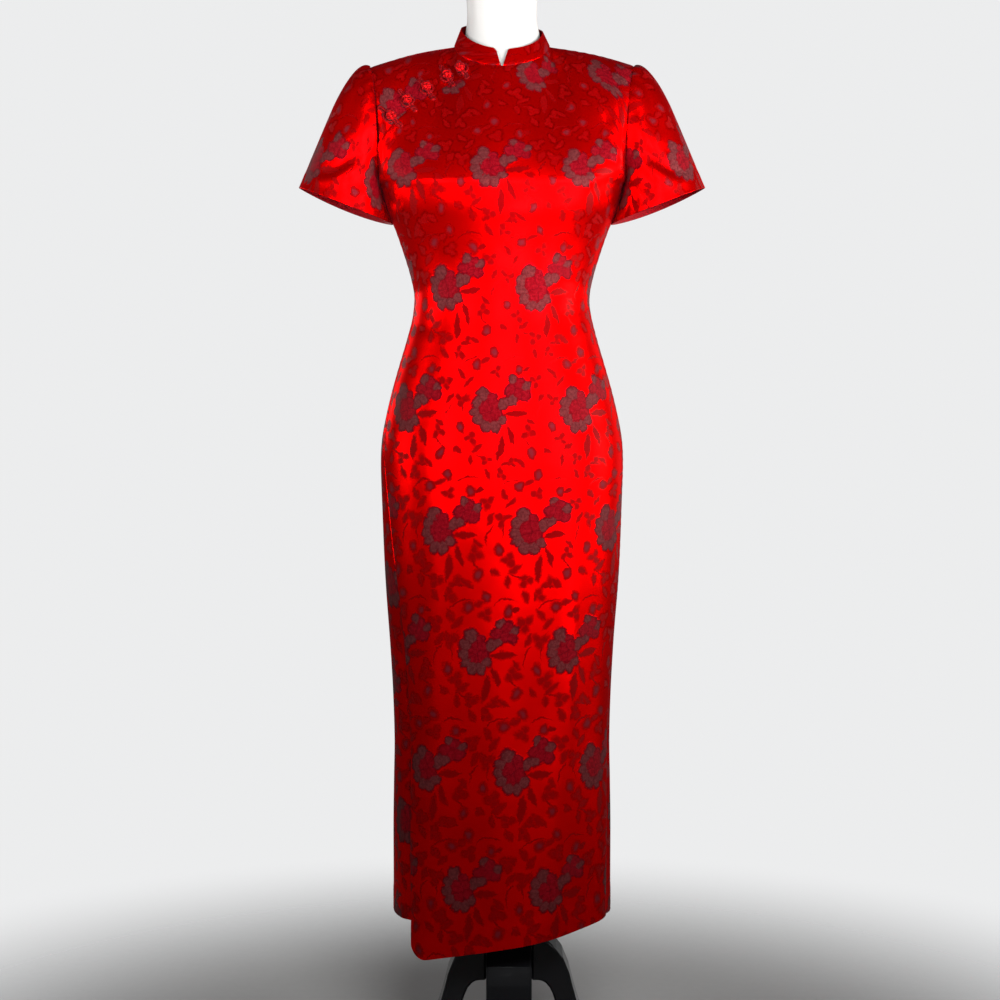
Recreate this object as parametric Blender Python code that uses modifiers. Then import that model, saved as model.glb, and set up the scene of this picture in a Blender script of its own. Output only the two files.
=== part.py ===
"""A short-sleeved satin cheongsam on a limbless dress form with a four-legged base.

Metres, +Z up, the front of the dress faces -Y.  The origin is on the floor, under the
middle of the dress.  Cloth pieces are walls of one thickness: a net of points on one
shared body surface, and the same points moved in along the cloth's outward directions.
"""

import math

import bmesh
import bpy
import numpy as np
from mathutils import Vector
from mathutils.bvhtree import BVHTree

# ---- driving dimensions ----------------------------------------------------------------

CLOTH = 0.002                 # wall of every cloth piece
SEAM = 0.0003                 # gap between two pieces at a seam
UNDERARM_Z = 1.340            # bottom of the armholes, and the fold across the bust
SHOULDER_TIP = (0.191, 0.004, 1.509)
NECK_SIDE = (0.0690, 0.004, 1.5385)
NECK_FRONT = (0.0, -0.058, 1.504)
NECK_BACK = (0.0, 0.056, 1.552)
ARMHOLE_FRONT = 0.064         # how far the armhole swings forward of the side seam
ARMHOLE_BACK = 0.068
ARMHOLE_INSET = 0.006         # how far its middle lies inside a line from tip to underarm
SHOULDER_BOW = 0.004          # rise of the shoulder line between its ends
NECK_SHARE = 0.40             # share of the top edge's half that is neckline
SHOULDER_TRIM = 0.0012        # share of the chest's height left open for the shoulder seam
SIDE_TRIM = 0.0016            # share of the half width left open for the side seam

# How the cloth leaves the underarm, as slopes, and arrives at its top edge, as tangents.
BUST_LEAN = 0.30              # how far it leans back above the bust for each metre up
BUST_SIDES = (0.62, 0.92)     # shares of the half width between which that lean dies out
FRONT_RISE = 1.05
BACK_RISE = 1.10
FRONT_SHOULDER_IN = (0.0, 0.150, 0.040)
FRONT_NECK_IN = (0.0, 0.055, 0.120)
BACK_SHOULDER_IN = (0.0, -0.140, 0.045)
BACK_NECK_IN = (0.0, -0.075, 0.130)

FORM_GAP = 0.0070             # from the dress's outer surface to the form
FORM_BOTTOM_Z = 0.83
NECK_TOP_Z = 1.640
NECK_RADIUS = (0.0535, 0.046)
NECK_CENTRE_Y = -0.002

POLE_RADIUS = 0.016
BASE_X = 0.010                # the pole stands a little to one side of the dress's middle
HUB_TOP_Z = 0.247
HUB_BOTTOM_Z = 0.178
LEG_WIDTH = 0.066

# Body sections, outer surface of the cloth.  half_width, front and back are measured from
# the middle, square is the exponent of the rounded section (2 is an ellipse).
# left_seam and right_seam are the front panel's edges, in degrees from the front middle.
# left_slit and right_slit are the open widths between the front and the back panel.
SECTION_COLUMNS = ("z", "half_width", "front", "back", "square",
                   "left_seam", "right_seam", "left_slit", "right_slit")
SECTIONS = (
    (0.235, 0.160, 0.128, 0.112, 2.30, -54.0, 70.0, 0.0100, 0.0090),
    (0.300, 0.160, 0.125, 0.112, 2.30, -54.0, 71.0, 0.0085, 0.0075),
    (0.380, 0.160, 0.122, 0.112, 2.28, -54.5, 72.0, 0.0070, 0.0060),
    (0.460, 0.159, 0.119, 0.113, 2.26, -55.0, 74.0, 0.0055, 0.0048),
    (0.530, 0.158, 0.116, 0.115, 2.24, -55.5, 76.0, 0.0045, 0.0038),
    (0.605, 0.160, 0.114, 0.118, 2.22, -56.5, 78.0, 0.0035, 0.0028),
    (0.675, 0.164, 0.113, 0.122, 2.20, -58.0, 80.0, 0.0025, 0.0018),
    (0.745, 0.169, 0.113, 0.126, 2.20, -60.0, 82.0, 0.0015, 0.0010),
    (0.800, 0.172, 0.113, 0.129, 2.20, -63.0, 84.0, SEAM, SEAM),
    (0.870, 0.1745, 0.113, 0.131, 2.20, -68.0, 86.0, SEAM, SEAM),
    (0.940, 0.1765, 0.112, 0.131, 2.20, -73.0, 88.0, SEAM, SEAM),
    (0.975, 0.1745, 0.110, 0.129, 2.20, -76.0, 89.0, SEAM, SEAM),
    (1.010, 0.1680, 0.108, 0.123, 2.18, -79.0, 90.0, SEAM, SEAM),
    (1.045, 0.1595, 0.105, 0.114, 2.16, -82.0, 90.0, SEAM, SEAM),
    (1.080, 0.1495, 0.102, 0.103, 2.14, -85.0, 90.0, SEAM, SEAM),
    (1.117, 0.1385, 0.099, 0.093, 2.12, -87.0, 90.0, SEAM, SEAM),
    (1.152, 0.1295, 0.096, 0.085, 2.10, -89.0, 90.0, SEAM, SEAM),
    (1.180, 0.1270, 0.096, 0.082, 2.10, -90.0, 90.0, SEAM, SEAM),
    (1.210, 0.1325, 0.098, 0.083, 2.12, -90.0, 90.0, SEAM, SEAM),
    (1.240, 0.1415, 0.103, 0.088, 2.16, -90.0, 90.0, SEAM, SEAM),
    (1.275, 0.1535, 0.113, 0.095, 2.24, -90.0, 90.0, SEAM, SEAM),
    (1.304, 0.1655, 0.122, 0.101, 2.36, -90.0, 90.0, SEAM, SEAM),
    (UNDERARM_Z, 0.176, 0.127, 0.104, 2.50, -90.0, 90.0, SEAM, SEAM),
)

# The front hem runs down towards the wearer's right; the back hem is level.
FRONT_HEM_LEFT_Z = 0.223
FRONT_HEM_RIGHT_Z = 0.283
BACK_HEM_Z = 0.281
HEM_BLEND_Z = 0.60            # above this the rows are level
HEM_SLOPE = 0.87              # power of the slant across the panel
HEM_CORNER = 0.024            # rise of the rounded corner at the left slit
HEM_CORNER_SHARE = 0.10       # share of the panel's width that it takes
HEM_CORNER_POWER = 2.2

# Long soft waves of the skirt: middle in degrees from the front, width in degrees,
# height in or out, and the height where the wave has died out.
WAVE_COLUMNS = ("angle", "spread", "depth", "top_z")
FRONT_WAVES = (
    (-44.0, 11.0, 0.0045, 0.92),
    (-18.0, 15.0, -0.0030, 0.70),
    (12.0, 18.0, 0.0035, 0.76),
    (40.0, 13.0, -0.0030, 0.66),
    (62.0, 10.0, 0.0030, 0.84),
)
BACK_WAVES = (
    (112.0, 14.0, 0.0035, 0.80),
    (146.0, 16.0, -0.0035, 0.72),
    (178.0, 17.0, 0.0045, 0.86),
    (214.0, 16.0, -0.0035, 0.70),
    (248.0, 15.0, 0.0040, 0.82),
)

# The side opening, from the neckline down to the right armhole: x and z in front view.
OPENING_COLUMNS = ("x", "z")
OPENING = (
    (-0.025, 1.5060),
    (-0.050, 1.4900),
    (-0.075, 1.4800),
    (-0.102, 1.4620),
    (-0.128, 1.4450),
    (-0.151, 1.4240),
    (-0.175, 1.3960),
    (-0.200, 1.3600),
)
FLAP = 0.09                   # share of the chest's height that the shoulder piece runs under
SINK = 0.0032                 # how far the shoulder piece lies under the big front

# Knot buttons along the opening's edge: x of each one in front view.
KNOT_X = (-0.0500, -0.0740, -0.1010, -0.1270, -0.1500)
KNOT_RISE = 0.0106            # from the edge up to a knot's middle
KNOT_RADIUS = 0.0065
LOOP_RADIUS = 0.0083
LOOP_CORD = 0.0017
TAB_LENGTH = 0.010
TAB_WIDTH = 0.0068
TAB_THICKNESS = 0.0030
TRIM_GAP = 0.00075            # from a panel to the flat trim that lies on it
KNOT_GAP = 0.00040            # from the shoulder piece to the lowest point of a ball

# Sleeve cuffs, left as seen from the front; the other one is its mirror image.
CUFF_OUTER = (0.293, 1.3365)
CUFF_INNER = (0.1600, 1.2850)
CUFF_HALF_DEPTH = 0.079
CUFF_Y = 0.004
SLEEVE_ROWS = 7
SLEEVE_START = 0.0008         # how far the sleeve's seam stands off the armhole

# Tangents of a sleeve's lines at the armhole and at the cuff, on its crown, its front
# and its underside; the second number points forward.
CROWN_LEAVE = (0.100, -0.030, 0.040)
FRONT_LEAVE = (0.080, -0.030, -0.030)
UNDER_LEAVE = (0.006, 0.0, -0.040)
CUFF_ARRIVE = (0.055, -0.004, -0.115)
UNDER_ARRIVE = (-0.024, 0.0, -0.058)

# Rows of the cloth above the underarm, as shares of the way up to the shoulder.
CHEST_STEPS = (0.0, 0.03, 0.09, 0.18, 0.29, 0.41, 0.54, 0.66, 0.77, 0.86, 0.93, 1.0)
BODY_COLUMNS = 24
FORM_COLUMNS = 20
FORM_STEPS = (0.0, 0.09, 0.29, 0.50, 0.68, 0.82, 0.92, 1.0)

# Collar: heights above the neckline seam, and how far its top leans in to the neck.
COLLAR_BACK_HEIGHT = 0.0275
COLLAR_SIDE_HEIGHT = 0.0260
COLLAR_LEFT_DROP = 0.0050      # how much lower its left side has settled
COLLAR_FRONT_HEIGHT = 0.0245
COLLAR_LEAN = (0.0080, 0.0105)  # inwards, at the front and from its sides on
COLLAR_NOTCH_DEGREES = 1.4    # half of the open notch, at the seam
COLLAR_NOTCH_TOP_DEGREES = 7.5
COLLAR_COLUMNS = 36
COLLAR_LEVELS = (0.0, 0.5, 1.0)

# One leg of the base: outer and inner edge of its side view, from the hub to the floor.
LEG_COLUMNS = ("outer_r", "outer_z", "inner_r", "inner_z")
LEG = (
    (0.0335, 0.2470, 0.0335, 0.1780),
    (0.0480, 0.2430, 0.0390, 0.1780),
    (0.0600, 0.2350, 0.0440, 0.1778),
    (0.0700, 0.2255, 0.0490, 0.1768),
    (0.0795, 0.2130, 0.0540, 0.1740),
    (0.0896, 0.1880, 0.0605, 0.1665),
    (0.0954, 0.1645, 0.0655, 0.1550),
    (0.1020, 0.1410, 0.0695, 0.1410),
    (0.1130, 0.1080, 0.0790, 0.1020),
    (0.1300, 0.0740, 0.0940, 0.0660),
    (0.1530, 0.0460, 0.1150, 0.0360),
    (0.1800, 0.0270, 0.1380, 0.0160),
    (0.2060, 0.0170, 0.1570, 0.0060),
    (0.2240, 0.0120, 0.1680, 0.0000),
    (0.2280, 0.0000, 0.1820, 0.0000),
)

# The pole's socket and the cap on the neck: radius or share of it, and height above the hub
# or above the neck's top.
SOCKET_TOP_Z = HUB_TOP_Z + 0.034
SOCKET = ((0.031, SEAM), (0.029, 0.012), (0.024, 0.026), (0.023, 0.034))
CAP = ((0.96, SEAM), (1.0, 0.003), (0.97, 0.008), (0.80, 0.0125), (0.40, 0.0155))

RED_SATIN = (0.62, 0.004, 0.006)
SATIN_ROUGHNESS = 0.35
SHELL_WHITE = (0.86, 0.85, 0.82)
CAP_WHITE = (0.80, 0.79, 0.76)
SHELL_ROUGHNESS = 0.42
STEEL = (0.55, 0.55, 0.56)
STEEL_ROUGHNESS = 0.25
GLOSS_BLACK = (0.01, 0.01, 0.012)
BLACK_ROUGHNESS = 0.18
COLLECTION = "cheongsam_on_form"


# ---- small tools -----------------------------------------------------------------------

def smoothstep(low, high, value):
    """0 below low, 1 above high, smooth between."""
    t = min(1.0, max(0.0, (value - low) / (high - low)))
    return t * t * (3.0 - 2.0 * t)


def hermite(start, end, leave, arrive, t):
    """Point at t on a cubic from start to end with those end tangents."""
    a = 2 * t**3 - 3 * t**2 + 1
    b = t**3 - 2 * t**2 + t
    c = -2 * t**3 + 3 * t**2
    d = t**3 - t**2
    return start * a + leave * b + end * c + arrive * d


SECTION_TABLE = np.array(SECTIONS)


def section(z):
    """The section at height z as a dictionary, smooth between the table's rows."""
    heights = SECTION_TABLE[:, 0]
    z = min(max(z, heights[0]), heights[-1])
    row = min(int(np.searchsorted(heights, z, side="right")) - 1, len(heights) - 2)
    step = heights[row + 1] - heights[row]
    before = SECTION_TABLE[max(row - 1, 0)]
    here = SECTION_TABLE[row]
    after = SECTION_TABLE[row + 1]
    beyond = SECTION_TABLE[min(row + 2, len(heights) - 1)]
    leave = (after - before) / max(after[0] - before[0], 1e-9) * step
    arrive = (beyond - here) / max(beyond[0] - here[0], 1e-9) * step
    values = hermite(here, after, leave, arrive, (z - here[0]) / step)
    slits = slice(7, 9)
    share = (z - here[0]) / step
    values[slits] = here[slits] + (after[slits] - here[slits]) * share
    return dict(zip(SECTION_COLUMNS, values))


def ring_point(sizes, degrees, z):
    """Point of the body section at an angle from the front middle, towards +X."""
    angle = math.radians(degrees)
    power = 2.0 / sizes["square"]
    across = math.sin(angle)
    along = math.cos(angle)
    depth = sizes["front"] if along > 0 else sizes["back"]
    x = sizes["half_width"] * math.copysign(abs(across) ** power, across)
    y = -depth * math.copysign(abs(along) ** power, along)
    wave = skirt_wave(degrees, z)
    length = math.hypot(x, y)
    return Vector((x + x / length * wave, y + y / length * wave, z))


def skirt_wave(degrees, z):
    """How far the skirt's soft waves stand out at an angle and height."""
    total = 0.0
    for angle, spread, depth, top_z in FRONT_WAVES + BACK_WAVES:
        away = (degrees - angle + 180.0) % 360.0 - 180.0
        fade = 1.0 - smoothstep(0.25, top_z, z)
        total += depth * math.exp(-(away / spread) ** 2) * fade
    return total


def arc_points(z, start, end, count, trim_start=0.0, trim_end=0.0):
    """Points at even spacing along the section, with a length trimmed off each end."""
    sizes = section(z)
    fine = [ring_point(sizes, start + (end - start) * k / 160.0, z) for k in range(161)]
    reach = [0.0]
    for a, b in zip(fine, fine[1:]):
        reach.append(reach[-1] + (b - a).length)
    points = []
    for k in range(count + 1):
        target = trim_start + (reach[-1] - trim_start - trim_end) * k / count
        slot = min(int(np.searchsorted(reach, target, side="right")) - 1, 159)
        share = (target - reach[slot]) / (reach[slot + 1] - reach[slot])
        points.append(fine[slot].lerp(fine[slot + 1], share))
    return points


def top_edge(share, is_front):
    """Shoulder and neckline from the -X shoulder tip (0) to the +X one (1)."""
    side = -1.0 if share < 0.5 else 1.0
    out = abs(share - 0.5) * 2.0
    tip = Vector(SHOULDER_TIP)
    corner = Vector(NECK_SIDE)
    middle = Vector(NECK_FRONT if is_front else NECK_BACK)
    if out >= NECK_SHARE:
        t = (out - NECK_SHARE) / (1.0 - NECK_SHARE)
        point = corner.lerp(tip, t)
        point.z += SHOULDER_BOW * math.sin(math.pi * t)
    else:
        angle = out / NECK_SHARE * math.pi / 2
        x = corner.x * math.sin(angle)
        y = middle.y + (corner.y - middle.y) * (1.0 - math.cos(angle))
        z = middle.z + (corner.z - middle.z) * (1.0 - math.cos(angle)) ** 0.9
        point = Vector((x, y, z))
    return Vector((point.x * side, point.y, point.z))


def armhole(t, side, is_front):
    """Armhole edge from the underarm (0) to the shoulder tip (1)."""
    swing = -ARMHOLE_FRONT if is_front else ARMHOLE_BACK
    low = Vector((section(UNDERARM_Z)["half_width"], 0.0, UNDERARM_Z))
    tip = Vector(SHOULDER_TIP)
    bow = math.sin(math.pi * t) ** 0.62
    height = low.z + (tip.z - low.z) * (1.0 - math.cos(math.pi * t)) / 2
    x = low.x + (tip.x - low.x) * t - ARMHOLE_INSET * math.sin(math.pi * t)
    y = low.y + (tip.y - low.y) * t + swing * bow
    return Vector((x * side, y, height))


def leave_underarm(low, rise, out, is_front):
    """Tangent with which the cloth goes on above the underarm section.

    It follows the sections below, but leans back above the bust.
    """
    below, top = SECTIONS[-2], SECTIONS[-1]
    step = top[0] - below[0]
    sideways = (top[1] - below[1]) / step * low.x / top[1]
    column = SECTION_COLUMNS.index("front" if is_front else "back")
    forward = (top[column] - below[column]) / step * low.y / top[column]
    if is_front:
        forward += (BUST_LEAN - forward) * (1.0 - smoothstep(*BUST_SIDES, out))
    return Vector((sideways, forward, FRONT_RISE if is_front else BACK_RISE)) * rise


def chest_point(u, t, is_front):
    """Body surface above the underarm.  u runs -1..1 across, t runs 0..1 up."""
    low = chest_row(u, is_front)
    high = top_edge((u + 1) / 2, is_front)
    leave = leave_underarm(low, high.z - low.z, abs(u), is_front)
    shoulder_in = Vector(FRONT_SHOULDER_IN if is_front else BACK_SHOULDER_IN)
    neck_in = Vector(FRONT_NECK_IN if is_front else BACK_NECK_IN)
    arrive = neck_in.lerp(shoulder_in, smoothstep(0.25, 0.55, abs(u)))
    point = hermite(low, high, leave, arrive, t)
    side = -1.0 if u < 0 else 1.0
    end_low = chest_row(side, is_front)
    end_high = top_edge(0.0 if side < 0 else 1.0, is_front)
    end = hermite(end_low, end_high, leave, shoulder_in, t)
    pull = smoothstep(0.45, 1.0, abs(u)) ** 1.3
    return point + (armhole(t, side, is_front) - end) * pull


ROW_SAMPLES = 64
FRONT_ROW = arc_points(UNDERARM_Z, -90.0, 90.0, ROW_SAMPLES)
BACK_ROW = list(reversed(arc_points(UNDERARM_Z, 90.0, 270.0, ROW_SAMPLES)))


def chest_row(u, is_front):
    """Point of the underarm section at u, -1..1 across."""
    row = FRONT_ROW if is_front else BACK_ROW
    place = (u + 1) / 2 * ROW_SAMPLES
    slot = min(int(place), ROW_SAMPLES - 1)
    return row[slot].lerp(row[slot + 1], place - slot)


def opening_z(x):
    """Height of the side opening's edge at x, in front view."""
    xs = [p[0] for p in reversed(OPENING)]
    zs = [p[1] for p in reversed(OPENING)]
    return float(np.interp(x, xs, zs))


def opening_top(u):
    """Share of the chest's height at which the big front ends at u."""
    if u > 0 or chest_point(u, 1.0, True).x > OPENING[0][0]:
        return 1.0
    low, high = 0.0, 1.0
    if chest_point(u, 1.0, True).z < opening_z(chest_point(u, 1.0, True).x):
        return 1.0
    for _ in range(30):
        middle = (low + high) / 2
        point = chest_point(u, middle, True)
        if point.z < opening_z(point.x):
            low = middle
        else:
            high = middle
    return low


# ---- making objects --------------------------------------------------------------------

def make_collection(name):
    """A collection of that name in the scene."""
    made = bpy.data.collections.new(name)
    bpy.context.scene.collection.children.link(made)
    return made


def make_material(name, colour, roughness, metallic=0.0):
    """A Principled material of one colour."""
    material = bpy.data.materials.new(name)
    material.use_nodes = True
    shader = material.node_tree.nodes["Principled BSDF"]
    shader.inputs["Base Color"].default_value = (*colour, 1.0)
    shader.inputs["Roughness"].default_value = roughness
    shader.inputs["Metallic"].default_value = metallic
    return material


def add_object(name, mesh, colour, roughness, metallic=0.0):
    """An object with its own material, linked into the part's collection."""
    made = bpy.data.objects.new(name, mesh)
    mesh.materials.append(make_material(name, colour, roughness, metallic))
    PART.objects.link(made)
    mesh.shade_smooth()
    mesh.set_sharp_from_angle(angle=math.radians(50))
    return made


def grid_mesh(name, rows, closed=False):
    """An open surface through rows of points; closed joins each row's end to its start."""
    mesh = bpy.data.meshes.new(name)
    width = len(rows[0])
    across = width if closed else width - 1
    faces = [
        (i * width + j, i * width + (j + 1) % width,
         (i + 1) * width + (j + 1) % width, (i + 1) * width + j)
        for i in range(len(rows) - 1) for j in range(across)
    ]
    mesh.from_pydata([p for row in rows for p in row], [], faces)
    return mesh


def cloth_object(name, outer, inner, closed=False):
    """A cloth piece: rows of points on its outer and on its inner surface, made one wall.

    The rows' direction crossed with the way from row to row points out of the cloth.
    """
    width = len(outer[0])
    count = len(outer) * width
    across = width if closed else width - 1
    faces = []
    for i in range(len(outer) - 1):
        for j in range(across):
            a, b = i * width + j, i * width + (j + 1) % width
            c, d = b + width, a + width
            faces.append((a, b, c, d))
            faces.append((count + d, count + c, count + b, count + a))
    rim = [[j for j in range(width)], [count - width + j for j in range(width)][::-1]]
    if closed:
        rim = [row + row[:1] for row in rim]
    else:
        first = [i * width for i in range(len(outer))][::-1]
        last = [i * width + width - 1 for i in range(len(outer))]
        rim += [first, last]
    for line in rim:
        faces += [(a, count + a, count + b, b) for a, b in zip(line, line[1:])]
    mesh = bpy.data.meshes.new(name)
    mesh.from_pydata([p for rows in (outer, inner) for row in rows for p in row], [], faces)
    return add_object(name, mesh, RED_SATIN, SATIN_ROUGHNESS)


def row_normals(rows, closed=False):
    """Outward directions of a surface through rows of points."""
    normals = []
    for i, row in enumerate(rows):
        below = rows[max(i - 1, 0)]
        above = rows[min(i + 1, len(rows) - 1)]
        line = []
        for j in range(len(row)):
            before = row[j - 1] if closed or j else row[0]
            after = row[(j + 1) % len(row)] if closed or j < len(row) - 1 else row[-1]
            line.append((after - before).cross(above[j] - below[j]).normalized())
        normals.append(line)
    return normals


def moved(rows, normals, distance):
    """The rows moved along their outward directions."""
    return [[p + n * distance for p, n in zip(row, line)] for row, line in zip(rows, normals)]


def loft_object(name, rings, colour, roughness, metallic=0.0):
    """A closed solid through rings of equal count, with flat ends."""
    mesh = grid_mesh(name, rings, closed=True)
    bm = bmesh.new()
    bm.from_mesh(mesh)
    bm.verts.ensure_lookup_table()
    width = len(rings[0])
    bm.faces.new([bm.verts[i] for i in range(width)])
    bm.faces.new([bm.verts[(len(rings) - 1) * width + i] for i in range(width)])
    bmesh.ops.recalc_face_normals(bm, faces=bm.faces)
    bm.to_mesh(mesh)
    bm.free()
    return add_object(name, mesh, colour, roughness, metallic)


# ---- the dress -------------------------------------------------------------------------

def hem_front(u):
    """Height of the front hem across the panel, u from -1 to 1."""
    share = (u + 1) / 2
    z = FRONT_HEM_LEFT_Z + (FRONT_HEM_RIGHT_Z - FRONT_HEM_LEFT_Z) * share ** HEM_SLOPE
    corner = max(0.0, 1.0 - share / HEM_CORNER_SHARE)
    return z + HEM_CORNER * corner ** HEM_CORNER_POWER


def skirt_rows(start, end, left_slit, right_slit, hem_height):
    """Rows of points and outward directions of a skirt panel, up to below the underarm."""
    lowest = SECTIONS[0][0]
    rows, normals = [], []
    for z in [row[0] for row in SECTIONS[:-1]]:
        sizes = section(z)
        first, last = start(sizes), end(sizes)
        trims = (left_slit(sizes) / 2, right_slit(sizes) / 2)
        level = arc_points(z, first, last, BODY_COLUMNS, *trims)
        above = arc_points(z + 0.004, first, last, BODY_COLUMNS, *trims)
        below = arc_points(z - 0.004, first, last, BODY_COLUMNS, *trims)
        line = []
        for j, point in enumerate(level):
            before, after = level[max(j - 1, 0)], level[min(j + 1, BODY_COLUMNS)]
            along = after - before
            if j in (0, BODY_COLUMNS):
                along = seam_direction(sizes, z, last if j else first)
            line.append(along.cross(above[j] - below[j]).normalized())
        normals.append(line)
        drop = 1.0 - smoothstep(lowest, HEM_BLEND_Z, z)
        for k, point in enumerate(level):
            point.z += (hem_height(2 * k / BODY_COLUMNS - 1) - lowest) * drop
        rows.append(level)
    return rows, normals


def seam_direction(sizes, z, degrees):
    """Direction of the section's outline at an angle."""
    return ring_point(sizes, degrees + 2.0, z) - ring_point(sizes, degrees - 2.0, z)


def chest_normal(u, t, is_front):
    """Outward direction of the cloth above the underarm, shared by both sides of a seam."""
    if t < 1e-6:
        at_seam = abs(u) > 0.99
        return Vector((math.copysign(1.0, u), 0.0, 0.0)) if at_seam else surface_normal(u, 0.01, is_front)
    if t > 0.97:
        both = surface_normal(u, 0.985, True) + surface_normal(u, 0.985, False)
        neck = 1.0 - smoothstep(0.28, 0.39, abs(u))
        own = surface_normal(u, 0.985, is_front)
        return both.normalized().lerp(own, neck).normalized()
    return surface_normal(u, t, is_front)


def make_front():
    """The big front, from the hem to the neckline and the side opening's edge."""
    rows, normals = skirt_rows(
        lambda s: s["left_seam"], lambda s: s["right_seam"],
        lambda s: s["left_slit"], lambda s: s["right_slit"], hem_front,
    )
    us = [trimmed(2 * k / BODY_COLUMNS - 1) for k in range(BODY_COLUMNS + 1)]
    tops = [opening_top(u) for u in us]
    for step in CHEST_STEPS:
        places = [(u, step * min(top, 1.0 - SHOULDER_TRIM)) for u, top in zip(us, tops)]
        rows.append([chest_point(u, t, True) for u, t in places])
        normals.append([chest_normal(u, t, True) for u, t in places])
    return cloth_object("front_panel", rows, moved(rows, normals, -CLOTH))


def trimmed(u):
    """u with the seam's gap taken off at both ends."""
    return u * (1.0 - SIDE_TRIM)


def surface_normal(u, t, is_front=True):
    """Outward direction of the chest surface."""
    step = 0.006
    t = min(max(t, step), 1.0 - step)
    across = chest_point(min(u + step, 1.0), t, is_front) - chest_point(max(u - step, -1.0), t, is_front)
    up = chest_point(u, t + step, is_front) - chest_point(u, t - step, is_front)
    normal = across.cross(up)
    return normal.normalized() if is_front else -normal.normalized()


def shoulder_piece_places():
    """Places of the small front's rows, as (u, t) from the flap's edge to the shoulder."""
    us = [trimmed(2 * k / BODY_COLUMNS - 1) for k in range(BODY_COLUMNS + 1)]
    us = [u for u in us if opening_top(u) < 1.0]
    us.append(us[-1] + 0.02)
    rows = []
    steps = 8
    for i in range(steps + 1):
        share = (i / steps) ** 0.9
        row = []
        for u in us:
            low = opening_top(u) - FLAP
            row.append((u, low + (1.0 - SHOULDER_TRIM - low) * share))
        rows.append(row)
    return rows


def make_shoulder_piece():
    """The small front under the opening's edge, from the neckline to the armhole."""
    places = shoulder_piece_places()
    rows = [[chest_point(u, t, True) for u, t in row] for row in places]
    normals = [[chest_normal(u, t, True) for u, t in row] for row in places]
    return cloth_object("shoulder_piece", moved(rows, normals, -SINK), moved(rows, normals, -SINK - CLOTH))


def make_back():
    """The whole back, from its level hem to the back neckline."""
    rows, normals = skirt_rows(
        lambda s: s["right_seam"], lambda s: 360.0 + s["left_seam"],
        lambda s: s["right_slit"], lambda s: s["left_slit"], lambda u: BACK_HEM_Z,
    )
    us = [trimmed(1 - 2 * k / BODY_COLUMNS) for k in range(BODY_COLUMNS + 1)]
    for step in CHEST_STEPS:
        t = step * (1.0 - SHOULDER_TRIM)
        rows.append([chest_point(u, t, False) for u in us])
        normals.append([chest_normal(u, t, False) for u in us])
    return cloth_object("back_panel", rows, moved(rows, normals, -CLOTH))


def sleeve_ring(side):
    """Places around an armhole from its top round the front, as (share up, is_front)."""
    front = list(CHEST_STEPS)
    if side < 0:
        top = opening_top(trimmed(-1.0))
        over = [row[0][1] for row in shoulder_piece_places() if row[0][1] > top + 0.03]
        front = [step * top for step in CHEST_STEPS] + over[:-1] + [1.0]
    ring = [(t, True) for t in reversed(front)]
    ring += [(t, False) for t in CHEST_STEPS[1:-1]]
    return ring


def make_sleeve(name, side):
    """A short set-in sleeve from the armhole to its slanted cuff."""
    outer = Vector((CUFF_OUTER[0], CUFF_Y, CUFF_OUTER[1]))
    inner = Vector((CUFF_INNER[0], CUFF_Y, CUFF_INNER[1]))
    centre = (outer + inner) / 2
    reach = (outer - inner) / 2
    ring = sleeve_ring(side)
    rows = []
    for i in range(SLEEVE_ROWS + 1):
        share = (i / SLEEVE_ROWS) ** 1.15
        row = []
        for t, is_front in ring:
            angle = math.pi * (1.0 - t)
            up = math.cos(angle)
            forward = math.sin(angle) * (1.0 if is_front else -1.0)
            start = armhole(t, 1.0, is_front)
            start += Vector((SLEEVE_START, 0.0, SLEEVE_START * (1.0 - t / 2)))
            end = centre + reach * up + Vector((0.0, -CUFF_HALF_DEPTH * forward, 0.0))
            crown = max(0.0, up)
            under = max(0.0, -up)
            turned = Vector((1.0, forward, 1.0))
            leave = Vector(FRONT_LEAVE).lerp(Vector(CROWN_LEAVE), crown) * turned
            leave = leave.lerp(Vector(UNDER_LEAVE), under)
            arrive = (Vector(CUFF_ARRIVE) * turned).lerp(Vector(UNDER_ARRIVE), under)
            point = hermite(start, end, leave, arrive, share)
            row.append(Vector((point.x * side, point.y, point.z)))
        rows.append(row)
    if side > 0:
        rows = [list(reversed(row)) for row in rows]
    rows.reverse()
    inside = moved(rows, row_normals(rows, closed=True), -CLOTH)
    for point, rim in zip(rows[-1], inside[-1]):
        rim.x = side * max(rim.x * side, point.x * side)
    return cloth_object(name, rows, inside, closed=True)


def neckline(degrees):
    """Neckline seam at an angle from the front middle, towards +X."""
    turn = (degrees + 180.0) % 360.0 - 180.0
    is_front = abs(turn) <= 90.0
    around = abs(turn) if is_front else 180.0 - abs(turn)
    share = 0.5 + math.copysign(NECK_SHARE * around / 90.0 / 2, turn)
    return top_edge(share, is_front)


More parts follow.
